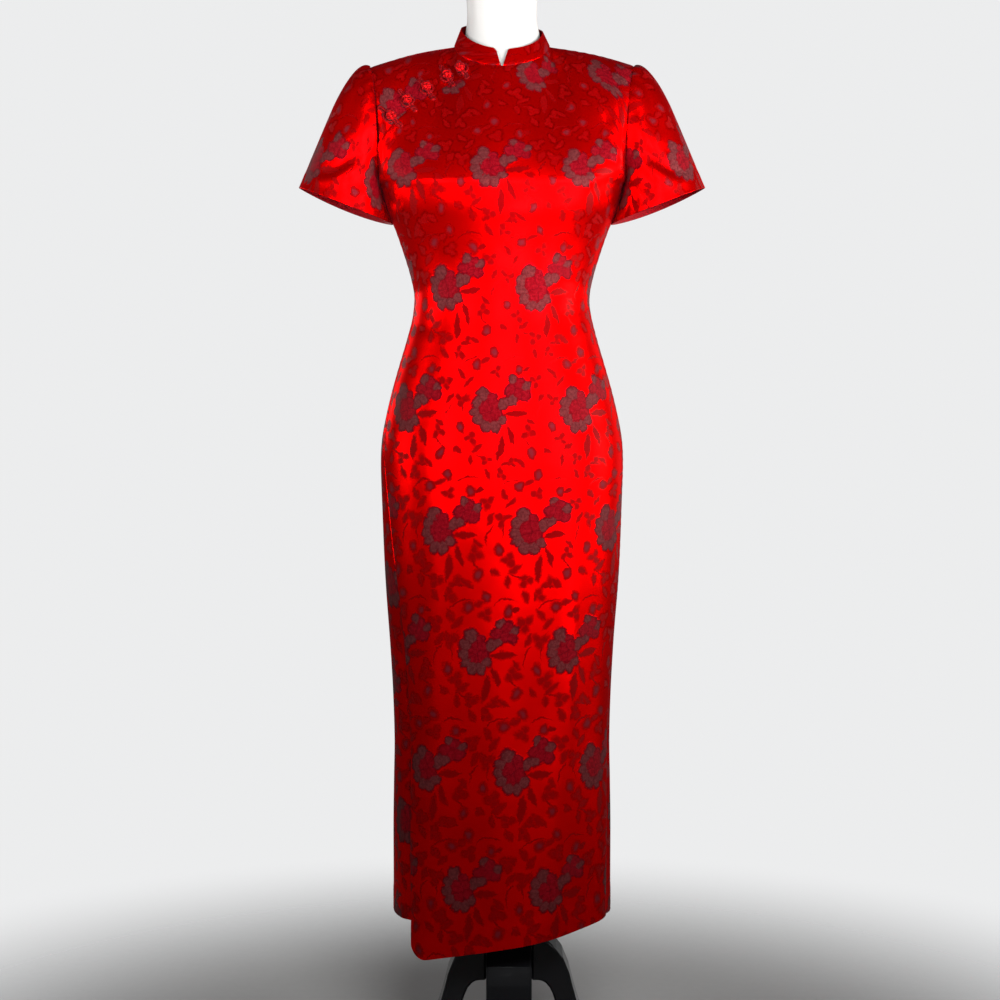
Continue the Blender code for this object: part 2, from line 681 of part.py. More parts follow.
def make_collar():
    """The standing band collar, open in a notch at the front middle."""
    rows = []
    for level in COLLAR_LEVELS:
        notch = COLLAR_NOTCH_DEGREES + (COLLAR_NOTCH_TOP_DEGREES - COLLAR_NOTCH_DEGREES) * level
        row = []
        for k in range(COLLAR_COLUMNS + 1):
            share = 2 * k / COLLAR_COLUMNS - 1
            degrees = 180.0 + (180.0 - notch) * share
            base = neckline(degrees)
            away = Vector((base.x, base.y - NECK_CENTRE_Y, 0.0)).normalized()
            turn = 180.0 - abs(degrees - 180.0)
            height = COLLAR_FRONT_HEIGHT
            height += (COLLAR_SIDE_HEIGHT - COLLAR_FRONT_HEIGHT) * smoothstep(0, 90, turn)
            height += (COLLAR_BACK_HEIGHT - COLLAR_SIDE_HEIGHT) * smoothstep(90, 180, turn)
            height -= COLLAR_LEFT_DROP * max(0.0, math.sin(math.radians(degrees)))
            lift = Vector((0.0, 0.0, 2 * SEAM + height * level))
            lean = COLLAR_LEAN[0] + (COLLAR_LEAN[1] - COLLAR_LEAN[0]) * smoothstep(25, 90, turn)
            row.append(base - away * lean * level + lift)
        rows.append(row)
    inside = moved(rows, row_normals(rows), -CLOTH)
    for point, rim in zip(rows[0], inside[0]):
        rim.z = max(rim.z, point.z)
    return cloth_object("collar", rows, inside)


def surface_of(made):
    """A search tree over an object's faces."""
    mesh = made.data
    return BVHTree.FromPolygons([v.co for v in mesh.vertices], [p.vertices for p in mesh.polygons])


def seen_at(tree, x, z):
    """Point and normal of the surface that shows at x, z in front view."""
    place, normal, _, _ = tree.ray_cast(Vector((x, -1.0, z)), Vector((0.0, 1.0, 0.0)))
    return place, normal


def lay_on(mesh, tree, seat, axes, lift):
    """Lays a mesh on a surface: its local heights are counted from the surface below."""
    first, second, normal = (Vector(axes[:, k]) for k in range(3))
    for vertex in mesh.vertices:
        base = seat + first * vertex.co.x + second * vertex.co.y
        hit = tree.ray_cast(base + normal * 0.03, -normal, 0.06)[0]
        vertex.co = (hit or base) + normal * (vertex.co.z + lift)


def turned_to(normal, along):
    """Rotation with local Z on the normal and local X along a direction."""
    third = normal.normalized()
    first = (along - third * along.dot(third)).normalized()
    second = third.cross(first)
    return np.array([first, second, third]).T


def make_knots(front, shoulder):
    """Five knot buttons, each in its loop, with a tab on either side of the edge."""
    front_tree, shoulder_tree = surface_of(front), surface_of(shoulder)
    reach = LOOP_RADIUS + LOOP_CORD + 0.0006 + TAB_LENGTH / 2
    for number, x in enumerate(KNOT_X, start=1):
        slope = (opening_z(x + 0.005) - opening_z(x - 0.005)) / 0.01
        edge = Vector((1.0, 0.0, slope)).normalized()
        upward = Vector((-edge.z, 0.0, edge.x))
        middle = Vector((x, 0.0, opening_z(x)))
        pieces = (
            (add_ball(f"knot_{number}"), KNOT_RISE, shoulder_tree, KNOT_GAP),
            (add_loop(f"loop_{number}"), KNOT_RISE, shoulder_tree, TRIM_GAP),
            (add_tab(f"tab_upper_{number}"), KNOT_RISE + reach, shoulder_tree, TRIM_GAP),
            (add_tab(f"tab_lower_{number}"), -TAB_LENGTH / 2 - 0.0008, front_tree, TRIM_GAP),
        )
        for made, rise, tree, gap in pieces:
            spot = middle + upward * rise
            seat, normal = seen_at(tree, spot.x, spot.z)
            axes = turned_to(normal, normal.cross(edge))
            lay_on(made.data, tree, seat, axes, gap)


def add_ball(name):
    """A knotted ball, a little flattened, with its underside at local zero."""
    mesh = bpy.data.meshes.new(name)
    bm = bmesh.new()
    bmesh.ops.create_uvsphere(bm, u_segments=10, v_segments=6, radius=KNOT_RADIUS)
    bmesh.ops.scale(bm, vec=(1.0, 1.0, 0.86), verts=bm.verts)
    bmesh.ops.translate(bm, vec=(0.0, 0.0, KNOT_RADIUS * 0.86), verts=bm.verts)
    bm.to_mesh(mesh)
    bm.free()
    return add_object(name, mesh, RED_SATIN, SATIN_ROUGHNESS)


def add_loop(name):
    """The ring of cord that holds a ball, with its underside at local zero."""
    around, sides = 12, 5
    rows = []
    for i in range(around + 1):
        turn = 2 * math.pi * (i % around) / around
        row = []
        for j in range(sides):
            tilt = 2 * math.pi * j / sides
            radius = LOOP_RADIUS + LOOP_CORD * math.cos(tilt)
            height = LOOP_CORD * (1.0 + math.sin(tilt))
            row.append(Vector((radius * math.cos(turn), radius * math.sin(turn), height)))
        rows.append(row)
    mesh = grid_mesh(name, rows, closed=True)
    bm = bmesh.new()
    bm.from_mesh(mesh)
    bmesh.ops.remove_doubles(bm, verts=bm.verts, dist=1e-6)
    bmesh.ops.recalc_face_normals(bm, faces=bm.faces)
    bm.to_mesh(mesh)
    bm.free()
    return add_object(name, mesh, RED_SATIN, SATIN_ROUGHNESS)


def add_tab(name):
    """A short flat tab of doubled cord with rounded ends, underside at local zero."""
    outline = []
    steps = 4
    straight = TAB_LENGTH / 2 - TAB_WIDTH / 2
    for end in (1.0, -1.0):
        for k in range(steps + 1):
            turn = -math.pi / 2 + math.pi * k / steps
            x = straight + TAB_WIDTH / 2 * math.cos(turn)
            outline.append((end * x, end * TAB_WIDTH / 2 * math.sin(turn)))
    rings = []
    for height, inset in ((0.0, 0.86), (0.35, 1.0), (0.70, 0.94), (1.0, 0.66)):
        along = 1.0 - (1.0 - inset) * TAB_WIDTH / TAB_LENGTH
        rings.append([Vector((x * along, y * inset, height * TAB_THICKNESS)) for x, y in outline])
    return loft_object(name, rings, RED_SATIN, SATIN_ROUGHNESS)


# ---- the form and its base -------------------------------------------------------------

def make_form():
    """The limbless torso with its neck, one closed smooth solid inside the dress."""
    columns = FORM_COLUMNS
    bm = bmesh.new()

    def add_rows(rows):
        made = [[bm.verts.new(p) for p in row] for row in rows]
        for low, high in zip(made, made[1:]):
            for j in range(len(low) - 1):
                bm.faces.new((low[j], low[j + 1], high[j + 1], high[j]))

    steps = FORM_STEPS
    front_rows = [[chest_point(2 * k / columns - 1, t, True) for k in range(columns + 1)] for t in steps]
    back_rows = [[chest_point(1 - 2 * k / columns, t, False) for k in range(columns + 1)] for t in steps]
    add_rows(front_rows)
    add_rows(back_rows)
    rings = []
    for z in [FORM_BOTTOM_Z] + [r[0] for r in SECTIONS[:-1] if r[0] > FORM_BOTTOM_Z + 0.03]:
        rings.append(arc_points(z, -90.0, 90.0, columns) + arc_points(z, 90.0, 270.0, columns)[1:])
    rings.append(front_rows[0] + back_rows[0][1:])
    add_rows(rings)
    for i in range(len(steps) - 1):
        for front_side, back_side in ((0, -1), (-1, 0)):
            corners = [front_rows[i][front_side], back_rows[i][back_side],
                       back_rows[i + 1][back_side], front_rows[i + 1][front_side]]
            bm.faces.new([bm.verts.new(p) for p in corners])
    bm.faces.new([bm.verts.new(p) for p in rings[0][:-1]])
    rim = [p for p in front_rows[-1] + back_rows[-1][1:-1] if abs(p.x) <= NECK_SIDE[0] + 1e-4]
    rim.sort(key=lambda p: math.atan2(p.y - NECK_CENTRE_Y, p.x))
    rim.append(rim[0])
    neck_rows = [rim]
    for share in (0.35, 0.75, 1.0):
        row = []
        for p in rim:
            angle = math.atan2((p.y - NECK_CENTRE_Y) / NECK_RADIUS[1], p.x / NECK_RADIUS[0])
            goal = Vector((
                NECK_RADIUS[0] * math.cos(angle), NECK_CENTRE_Y + NECK_RADIUS[1] * math.sin(angle),
                p.z + (NECK_TOP_Z - p.z) * share,
            ))
            row.append(goal)
        neck_rows.append(row)
    add_rows(neck_rows)
    bm.faces.new([bm.verts.new(p) for p in neck_rows[-1][:-1]])
    bmesh.ops.remove_doubles(bm, verts=bm.verts, dist=2e-5)
    bmesh.ops.dissolve_degenerate(bm, edges=bm.edges, dist=1e-6)
    bmesh.ops.recalc_face_normals(bm, faces=bm.faces)
    bm.normal_update()
    shift = [(v, v.normal * min(v.calc_shell_factor(), 1.5)) for v in bm.verts]
    for vertex, way in shift:
        fade = 1.0 - smoothstep(1.560, 1.590, vertex.co.z)
        vertex.co -= way * FORM_GAP * fade
        if vertex.co.z < FORM_BOTTOM_Z + FORM_GAP * 1.5:
            vertex.co.z = FORM_BOTTOM_Z
    mesh = bpy.data.meshes.new("form_torso")
    bm.to_mesh(mesh)
    bm.free()
    return add_object("form_torso", mesh, SHELL_WHITE, SHELL_ROUGHNESS)


def make_neck_cap():
    """A plain shallow cap that closes the form's neck."""
    rings = []
    for radius_share, height in CAP:
        rings.append([
            Vector((NECK_RADIUS[0] * radius_share * math.cos(a),
                    NECK_CENTRE_Y + NECK_RADIUS[1] * radius_share * math.sin(a), NECK_TOP_Z + height))
            for a in (2 * math.pi * k / 28 for k in range(28))
        ])
    return loft_object("neck_cap", rings, CAP_WHITE, SHELL_ROUGHNESS)


def make_turned(name, profile, colour, roughness, metallic=0.0):
    """A round solid on the pole's axis, through a profile of radius and height."""
    rings = [[Vector((BASE_X + r * math.cos(a), r * math.sin(a), z))
              for a in (2 * math.pi * k / 20 for k in range(20))] for r, z in profile]
    return loft_object(name, rings, colour, roughness, metallic)


def make_leg(name, degrees):
    """One arched leg that runs out from the hub in a direction."""
    angle = math.radians(degrees)
    away = Vector((math.cos(angle), math.sin(angle), 0.0))
    aside = Vector((-math.sin(angle), math.cos(angle), 0.0)) * LEG_WIDTH / 2
    rings = []
    for outer_r, outer_z, inner_r, inner_z in LEG:
        corners = ((outer_r, outer_z, -1), (outer_r, outer_z, 1),
                   (inner_r, inner_z, 1), (inner_r, inner_z, -1))
        rings.append([Vector((BASE_X, 0.0, z)) + away * r + aside * sign for r, z, sign in corners])
    soften(loft_object(name, rings, GLOSS_BLACK, BLACK_ROUGHNESS), 0.004)


def make_base():
    """Pole, socket, hub and four arched legs."""
    make_turned("pole", ((POLE_RADIUS, SOCKET_TOP_Z + SEAM), (POLE_RADIUS, FORM_BOTTOM_Z - SEAM)),
                STEEL, STEEL_ROUGHNESS, 1.0)
    make_turned("pole_socket", [(r, HUB_TOP_Z + z) for r, z in SOCKET], GLOSS_BLACK, BLACK_ROUGHNESS)
    half = LEG_WIDTH / 2
    square = ((1, 1), (-1, 1), (-1, -1), (1, -1))
    rings = [[Vector((BASE_X + half * x, half * y, z)) for x, y in square]
             for z in (HUB_BOTTOM_Z, HUB_TOP_Z)]
    soften(loft_object("hub", rings, GLOSS_BLACK, BLACK_ROUGHNESS), 0.003)
    for name, degrees in (("leg_front", -90.0), ("leg_right", 0.0), ("leg_back", 90.0), ("leg_left", 180.0)):
        make_leg(name, degrees)


def soften(made, width):
    """Rounds the long edges of a solid."""
    bevel = made.modifiers.new("edges", "BEVEL")
    bevel.width = width
    bevel.segments = 2
    bevel.limit_method = "ANGLE"
    bevel.angle_limit = math.radians(50)


def main():
    """Builds every piece in order."""
    front = make_front()
    shoulder = make_shoulder_piece()
    make_back()
    make_sleeve("sleeve_right", -1.0)
    make_sleeve("sleeve_left", 1.0)
    make_collar()
    make_knots(front, shoulder)
    make_form()
    make_neck_cap()
    make_base()


for old in list(bpy.data.objects):
    bpy.data.objects.remove(old, do_unlink=True)
PART = make_collection(COLLECTION)
main()
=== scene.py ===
"""A red satin brocade cheongsam on a limbless dress form: the finishes and the fine cloth.

Metres, +Z up; the front of the dress faces -Y and +X is the wearer's left.  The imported
model is the frame.  Every cloth wall here lies on the surface of the solid it replaces,
in a finer net, with the creases, turned edges, seams and sewing that the solid leaves out.
"""

import logging
import math
from dataclasses import dataclass, field
from enum import Enum
from typing import Callable, Optional, Sequence, Union

import bmesh
import bpy
import numpy as np
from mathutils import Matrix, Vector
from mathutils.bvhtree import BVHTree


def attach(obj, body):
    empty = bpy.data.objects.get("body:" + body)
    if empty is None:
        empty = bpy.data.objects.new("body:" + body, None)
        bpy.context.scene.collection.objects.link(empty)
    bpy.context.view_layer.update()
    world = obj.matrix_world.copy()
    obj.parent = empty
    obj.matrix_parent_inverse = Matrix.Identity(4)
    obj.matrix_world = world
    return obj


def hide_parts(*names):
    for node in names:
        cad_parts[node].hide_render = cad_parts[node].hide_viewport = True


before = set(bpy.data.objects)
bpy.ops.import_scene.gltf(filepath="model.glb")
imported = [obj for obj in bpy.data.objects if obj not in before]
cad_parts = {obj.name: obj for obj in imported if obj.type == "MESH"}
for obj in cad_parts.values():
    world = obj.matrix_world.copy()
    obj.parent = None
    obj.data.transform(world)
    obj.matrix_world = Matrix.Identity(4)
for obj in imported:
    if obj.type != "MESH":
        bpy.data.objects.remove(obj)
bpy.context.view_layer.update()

LOG = logging.getLogger("cheongsam")
UV_NAME = "cloth_grain"  # the cloth's own map, in metres along weft and warp

EDGE_PLACES = (0.0003, 0.0008, 0.0016, 0.0032)  # net lines beside each cloth edge
CHEST_HEIGHT = 0.2  # from underarm to shoulder, for the spacing of the rows
ARC_POINTS = 241  # points that a stretch of a section is measured on
LEVEL = np.array([1.0, 1.0, 0.0])  # keeps the level part of a direction
HEM_STITCH = 0.0095  # spacing of a hem's stitches
HEM_SEAM = 0.002  # from a turned-up hem's upper edge down to them

Array = np.ndarray
Material, Object, Socket = bpy.types.Material, bpy.types.Object, bpy.types.NodeSocket
Number = Union[int, float]
Pair, Triple = tuple[float, float], tuple[float, float, float]


class Side(Enum):
    """The wearer's two sides, with the sign of X on each."""

    LEFT = 1.0
    RIGHT = -1.0


class Face(Enum):
    """The front and the back of the dress, with the sign of Y on each."""

    FRONT = -1.0
    BACK = 1.0


# ---- small tools ----

def smoothstep(low: float, high: float, value: Union[Number, Array]) -> Union[Number, Array]:
    """Rises smoothly from 0 where value is at low to 1 where it is at high."""
    t = np.clip((value - low) / (high - low), 0.0, 1.0)
    return t * t * (3.0 - 2.0 * t)


def hermite(start: Array, end: Array, leave: Array, arrive: Array, t: Array) -> Array:
    """Points at shares t of a cubic between two ends, with its tangents at both."""
    square, cube = t * t, t * t * t
    return (start * (2 * cube - 3 * square + 1) + leave * (cube - 2 * square + t)
            + end * (3 * square - 2 * cube) + arrive * (cube - square))


def unit(vectors: Array) -> Array:
    """The vectors at length one, along the last axis."""
    return vectors / np.maximum(np.linalg.norm(vectors, axis=-1, keepdims=True), 1e-12)


def stacked(*parts: Union[Number, Array]) -> Array:
    """Points made of their coordinates; a single number counts for all of them."""
    return np.stack(np.broadcast_arrays(*parts), axis=-1)


def steps_along(points: Array, axis: int) -> Array:
    """Distances between neighbours in a net of points, along its rows (1) or across them (0)."""
    return np.linalg.norm(np.diff(points, axis=axis), axis=2)


def walked_along(points: Array, axis: int) -> Array:
    """Length walked to each point of a net, along its rows (1) or across them (0)."""
    before = ((0, 0), (1, 0)) if axis else ((1, 0), (0, 0))
    return np.pad(np.cumsum(steps_along(points, axis), axis=axis), before)


def along_row(points: Array) -> Array:
    """Length walked along a line of points, from 0 at its first."""
    return walked_along(points[None], 1)[0]


# ---- the body of the dress ----

@dataclass(frozen=True)
class BodySurface:
    """The outer surface of the dress: sections up to the underarm, and a net above it.

    The tables' columns are named beside them.  Angles are in degrees from the middle of
    the front, towards the wearer's left.
    """

    underarm_z: float = 1.340
    shoulder_tip: tuple = (0.191, 0.004, 1.509)
    neck_side: tuple = (0.0690, 0.004, 1.5385)
    neck_front: tuple = (0.0, -0.058, 1.504)
    neck_back: tuple = (0.0, 0.056, 1.552)
    neck_share: float = 0.40  # share of the top edge's half that is neckline
    shoulder_bow: float = 0.004  # rise of the shoulder line between its ends
    armhole_front: float = 0.064  # how far the armhole swings forward of the side seam
    armhole_back: float = 0.068
    armhole_inset: float = 0.006
    # above the underarm: how steeply each face rises, and its ways into neckline and shoulder
    chest_front: tuple = (1.05, (0.0, 0.055, 0.120), (0.0, 0.150, 0.040))
    chest_back: tuple = (1.10, (0.0, -0.075, 0.130), (0.0, -0.140, 0.045))
    bust_slope: float = 0.30  # how fast the bust recedes above the underarm
    bust_edges: tuple = (0.62, 0.92)  # shares of the half width between which that fades
    shoulder_starts: tuple = (0.25, 0.55)  # between which neckline turns to shoulder
    armhole_pull: tuple = (0.45, 1.0)  # between which the armhole's pull on the rows grows
    seam: float = 0.0003  # gap between two pieces, where a section has no slits
    section_columns: tuple = ("z", "half_width", "front", "back", "square",
                              "left_seam", "right_seam", "left_slit", "right_slit")
    sections: tuple = (
        (0.235, 0.160, 0.128, 0.112, 2.30, -54, 70, 0.0100, 0.0090),
        (0.300, 0.160, 0.125, 0.112, 2.30, -54, 71, 0.0085, 0.0075),
        (0.380, 0.160, 0.122, 0.112, 2.28, -54.5, 72, 0.0070, 0.0060),
        (0.460, 0.159, 0.119, 0.113, 2.26, -55, 74, 0.0055, 0.0048),
        (0.530, 0.158, 0.116, 0.115, 2.24, -55.5, 76, 0.0045, 0.0038),
        (0.605, 0.160, 0.114, 0.118, 2.22, -56.5, 78, 0.0035, 0.0028),
        (0.675, 0.164, 0.113, 0.122, 2.20, -58, 80, 0.0025, 0.0018),
        (0.745, 0.169, 0.113, 0.126, 2.20, -60, 82, 0.0015, 0.0010),
        (0.800, 0.172, 0.113, 0.129, 2.20, -63, 84),
        (0.870, 0.1745, 0.113, 0.131, 2.20, -68, 86),
        (0.940, 0.1765, 0.112, 0.131, 2.20, -73, 88),
        (0.975, 0.1745, 0.110, 0.129, 2.20, -76, 89),
        (1.010, 0.1680, 0.108, 0.123, 2.18, -79, 90),
        (1.045, 0.1595, 0.105, 0.114, 2.16, -82, 90),
        (1.080, 0.1495, 0.102, 0.103, 2.14, -85, 90),
        (1.117, 0.1385, 0.099, 0.093, 2.12, -87, 90),
        (1.152, 0.1295, 0.096, 0.085, 2.10, -89, 90),
        (1.180, 0.1270, 0.096, 0.082, 2.10, -90, 90),
        (1.210, 0.1325, 0.098, 0.083, 2.12, -90, 90),
        (1.240, 0.1415, 0.103, 0.088, 2.16, -90, 90),
        (1.275, 0.1535, 0.113, 0.095, 2.24, -90, 90),
        (1.304, 0.1655, 0.122, 0.101, 2.36, -90, 90),
        (1.340, 0.176, 0.127, 0.104, 2.50, -90, 90),
    )
    waves: tuple = (  # angle, spread, depth, and the height where each dies out
        (-44, 11, 0.0045, 0.92),
        (-18, 15, -0.0030, 0.70),
        (12, 18, 0.0035, 0.76),
        (40, 13, -0.0030, 0.66),
        (62, 10, 0.0030, 0.84),
        (112, 14, 0.0035, 0.80),
        (146, 16, -0.0035, 0.72),
        (178, 17, 0.0045, 0.86),
        (214, 16, -0.0035, 0.70),
        (248, 15, 0.0040, 0.82),
    )
    wave_low_z: float = 0.25  # below this the waves have their whole depth

    def section(self, z: float) -> dict[str, float]:
        """The sizes of the section at a height.

        Args:
            z: the height.

        Returns:
            The table's columns by name, smooth between its rows.
        """
        table = np.array([(*row, self.seam, self.seam)[:len(self.section_columns)] for row in self.sections])
        heights = table[:, 0]
        z = min(max(z, heights[0]), heights[-1])
        row = min(int(np.searchsorted(heights, z, side="right")) - 1, len(heights) - 2)
        last = len(heights) - 1
        before, here = table[max(row - 1, 0)], table[row]
        after, beyond = table[row + 1], table[min(row + 2, last)]
        step = after[0] - here[0]
        share = (z - here[0]) / step
        leave = (after - before) / (after[0] - before[0]) * step
        arrive = (beyond - here) / (beyond[0] - here[0]) * step
        values = hermite(here, after, leave, arrive, share)
        slits = slice(7, 9)
        values[slits] = here[slits] + (after[slits] - here[slits]) * share
        return dict(zip(self.section_columns, values))

    def ring(self, z: float, degrees: Array) -> Array:
        """Points of the section at a height.

        Args:
            z: the height.
            degrees: the angles of the points.

        Returns:
            One point for each angle.
        """
        sizes = self.section(z)
        angle = np.radians(degrees)
        power = 2.0 / sizes["square"]
        across, along = np.sin(angle), np.cos(angle)
        depth = np.where(along > 0, sizes["front"], sizes["back"])
        x = sizes["half_width"] * np.sign(across) * np.abs(across) ** power
        y = -depth * np.sign(along) * np.abs(along) ** power
        wave = self.skirt_wave(degrees, z) / np.hypot(x, y)
        return stacked(x + x * wave, y + y * wave, z)

    def skirt_wave(self, degrees: Array, z: float) -> Array:
        """How far the long soft waves of the skirt stand out at some angles and a height."""
        total = np.zeros_like(degrees, dtype=float)
        for angle, spread, depth, top_z in self.waves:
            away = (degrees - angle + 180.0) % 360.0 - 180.0
            total += depth * np.exp(-(away / spread) ** 2) * (1.0 - smoothstep(self.wave_low_z, top_z, z))
        return total

    def arc(self, z: float, start: float, end: float, places: Array) -> Array:
        """Points of a section at given shares of the length between two angles.

        Args:
            z: the height.
            start: the first angle.
            end: the last angle.
            places: shares of the length between them.

        Returns:
            One point for each share.
        """
        fine = self.ring(z, np.linspace(start, end, ARC_POINTS))
        walked = along_row(fine)
        goal = np.asarray(places) * walked[-1]
        return stacked(*(np.interp(goal, walked, fine[:, k]) for k in range(3)))

    def arc_length(self, z: float, start: float, end: float) -> float:
        """Length of a section between two angles."""
        return float(along_row(self.ring(z, np.linspace(start, end, ARC_POINTS)))[-1])

    def top_edge(self, share: Array, face: Face) -> Array:
        """The shoulder seam and the neckline, from the right shoulder tip to the left one.

        Args:
            share: 0 at the right tip, 1 at the left one.
            face: the front or the back panel.

        Returns:
            One point for each share.
        """
        side = np.where(share < 0.5, -1.0, 1.0)
        out = np.abs(share - 0.5) * 2.0
        tip, corner = np.array(self.shoulder_tip), np.array(self.neck_side)
        middle = np.array(self.neck_front if face is Face.FRONT else self.neck_back)
        t = np.clip((out - self.neck_share) / (1.0 - self.neck_share), 0.0, 1.0)[..., None]
        shoulder = corner + (tip - corner) * t
        shoulder[..., 2] += self.shoulder_bow * np.sin(np.pi * t[..., 0])
        angle = np.clip(out / self.neck_share, 0.0, 1.0) * np.pi / 2
        drop = 1.0 - np.cos(angle)
        neck = stacked(corner[0] * np.sin(angle), middle[1] + (corner[1] - middle[1]) * drop,
                       middle[2] + (corner[2] - middle[2]) * drop ** 0.9)
        point = np.where((out >= self.neck_share)[..., None], shoulder, neck)
        point[..., 0] *= side
        return point

    def armhole(self, t: Array, side: Array, face: Face) -> Array:
        """The armhole's edge.

        Args:
            t: 0 at the underarm, 1 at the shoulder tip.
            side: the sign of X.
            face: its front or its back half.

        Returns:
            One point for each t.
        """
        swing = -self.armhole_front if face is Face.FRONT else self.armhole_back
        low = np.array([self.sections[-1][1], 0.0, self.underarm_z])
        tip = np.array(self.shoulder_tip)
        arch = np.sin(np.pi * t)
        x = low[0] + (tip[0] - low[0]) * t - self.armhole_inset * arch
        y = low[1] + (tip[1] - low[1]) * t + swing * np.maximum(arch, 0.0) ** 0.62
        z = low[2] + (tip[2] - low[2]) * (1.0 - np.cos(np.pi * t)) / 2
        return stacked(x * side, y, z)

    def underarm_row(self, u: Array, face: Face) -> Array:
        """Points of the underarm section, u running from -1 to 1 across the front or back."""
        if face is Face.FRONT:
            return self.arc(self.underarm_z, -90.0, 90.0, (np.asarray(u) + 1) / 2)
        return self.arc(self.underarm_z, 270.0, 90.0, (np.asarray(u) + 1) / 2)

    def chest(self, u: Array, t: Array, face: Face) -> Array:
        """The surface above the underarm.

        Args:
            u: -1 to 1 across, from the wearer's right to the left.
            t: 0 at the underarm, 1 at the shoulder and the neckline.
            face: the front or the back.

        Returns:
            One point for each pair of u and t.
        """
        u, t = np.broadcast_arrays(np.asarray(u, float), np.asarray(t, float))
        shape = u.shape
        u, t = u.ravel(), t.ravel()
        low, high = self.underarm_row(u, face), self.top_edge((u + 1) / 2, face)
        rise = (high[:, 2] - low[:, 2])[:, None]
        out = np.abs(u)
        below, top = self.sections[-2], self.sections[-1]
        in_front = face is Face.FRONT
        leave_x, leave_y = (
            (top[column] - below[column]) / (top[0] - below[0]) / top[column] * low[:, axis]
            for axis, column in enumerate((1, 2 if in_front else 3)))
        if in_front:
            leave_y = self.bust_slope + (leave_y - self.bust_slope) * smoothstep(*self.bust_edges, out)
        leave_z, neck_in, shoulder_in = self.chest_front if in_front else self.chest_back
        leave = stacked(leave_x, leave_y, leave_z) * rise
        outward = smoothstep(*self.shoulder_starts, out)[:, None]
        arrive = np.array(neck_in) * (1.0 - outward) + np.array(shoulder_in) * outward
        share = t[:, None]
        point = hermite(low, high, leave, arrive, share)
        side = np.where(u < 0, -1.0, 1.0)
        end_low, end_high = self.underarm_row(side, face), self.top_edge((side + 1) / 2, face)
        end = hermite(end_low, end_high, leave, np.array(shoulder_in), share)
        pull = (smoothstep(*self.armhole_pull, out) ** 1.3)[:, None]
        return (point + (self.armhole(t, side, face) - end) * pull).reshape(*shape, 3)

    def neckline(self, degrees: Array) -> Array:
        """The neckline seam at some angles from the middle of the front."""
        turn = (degrees + 180.0) % 360.0 - 180.0
        in_front = np.abs(turn) <= 90.0
        around = np.where(in_front, np.abs(turn), 180.0 - np.abs(turn))
        share = 0.5 + np.sign(turn) * self.neck_share * around / 90.0 / 2
        front, back = self.top_edge(share, Face.FRONT), self.top_edge(share, Face.BACK)
        return np.where(in_front[:, None], front, back)


@dataclass(frozen=True)
class SideOpening:
    """The curved edge of the big front, from the neckline to the right armhole."""

    body: BodySurface
    edge: tuple = (  # x and z of its points
        (-0.025, 1.5060), (-0.050, 1.4900), (-0.075, 1.4800), (-0.102, 1.4620),
        (-0.128, 1.4450), (-0.151, 1.4240), (-0.175, 1.3960), (-0.200, 1.3600),
    )
    softness: float = 0.006  # how far its corners are rounded
    flap: float = 0.09  # share of the chest's height that lies under the big front
    sink: float = 0.0019  # how far the small front lies under the big one

    def height(self, x: Union[float, Array]) -> Array:
        """Height of the edge at x in front view, on a smooth line through its points."""
        xs, zs = np.array(self.edge)[::-1].T
        places = [np.interp(np.asarray(x) + k * self.softness, xs, zs) for k in (-1.0, 0.0, 1.0)]
        return (places[0] + 2 * places[1] + places[2]) / 4

    def top(self, u: float) -> float:
        """Share of the chest's height at which the big front ends at u."""
        high = self.body.chest(u, 1.0, Face.FRONT)
        if u > 0 or high[0] > self.edge[0][0] or high[2] < self.height(high[0]):
            return 1.0
        low, top = 0.0, 1.0
        for _ in range(20):
            middle = (low + top) / 2
            point = self.body.chest(u, middle, Face.FRONT)
            low, top = (middle, top) if point[2] < self.height(point[0]) else (low, middle)
        return low


# ---- creases ----

CREASE_END = 0.15  # share of its depth that a crease still has at its ends
CREASE_SKEW = 0.8  # below 1 its deepest place lies before its middle


@dataclass(frozen=True)
class Crease:
    """A soft trough or ridge in the cloth, on a line seen from the front or the back."""

    face: Face
    start: Pair  # x and z where it begins
    end: Pair  # x and z where it dies out
    width: float  # half width of its slopes
    depth: float  # above zero a ridge, below zero a trough
    bow: float = 0.0  # how far its middle bends to the left of its way

    def height(self, points: Array, normals: Array) -> Array:
        """How far the crease moves some points along their outward directions.

        Args:
            points: the cloth's points, shape (n, 3).
            normals: their outward directions.

        Returns:
            One height for each point.
        """
        start, end = np.array(self.start), np.array(self.end)
        way = end - start
        length = float(np.hypot(*way))
        way = way / length
        across = np.array([-way[1], way[0]])
        flat = points[:, [0, 2]] - start
        along = np.clip(flat @ way / length, 0.0, 1.0)
        beyond = flat @ way - along * length
        aside = flat @ across - self.bow * np.sin(np.pi * along)
        away = np.hypot(aside, beyond)
        facing = smoothstep(-0.15, 0.35, normals[:, 1] * self.face.value)
        swell = np.sin(np.pi * along ** CREASE_SKEW) ** CREASE_SKEW
        fade = CREASE_END + (1.0 - CREASE_END) * swell
        return self.depth * fade * facing * np.exp(-((away / self.width) ** 2))


def creases_of(face: Face, rows: Sequence[tuple]) -> list[Crease]:
    """Creases from rows of x0, z0, x1, z1, width, depth and bow, sizes in millimetres."""
    return [Crease(face, (x0, z0), (x1, z1), width, depth, bow)
            for x0, z0, x1, z1, width, depth, bow in (np.array(rows) / 1000).tolist()]


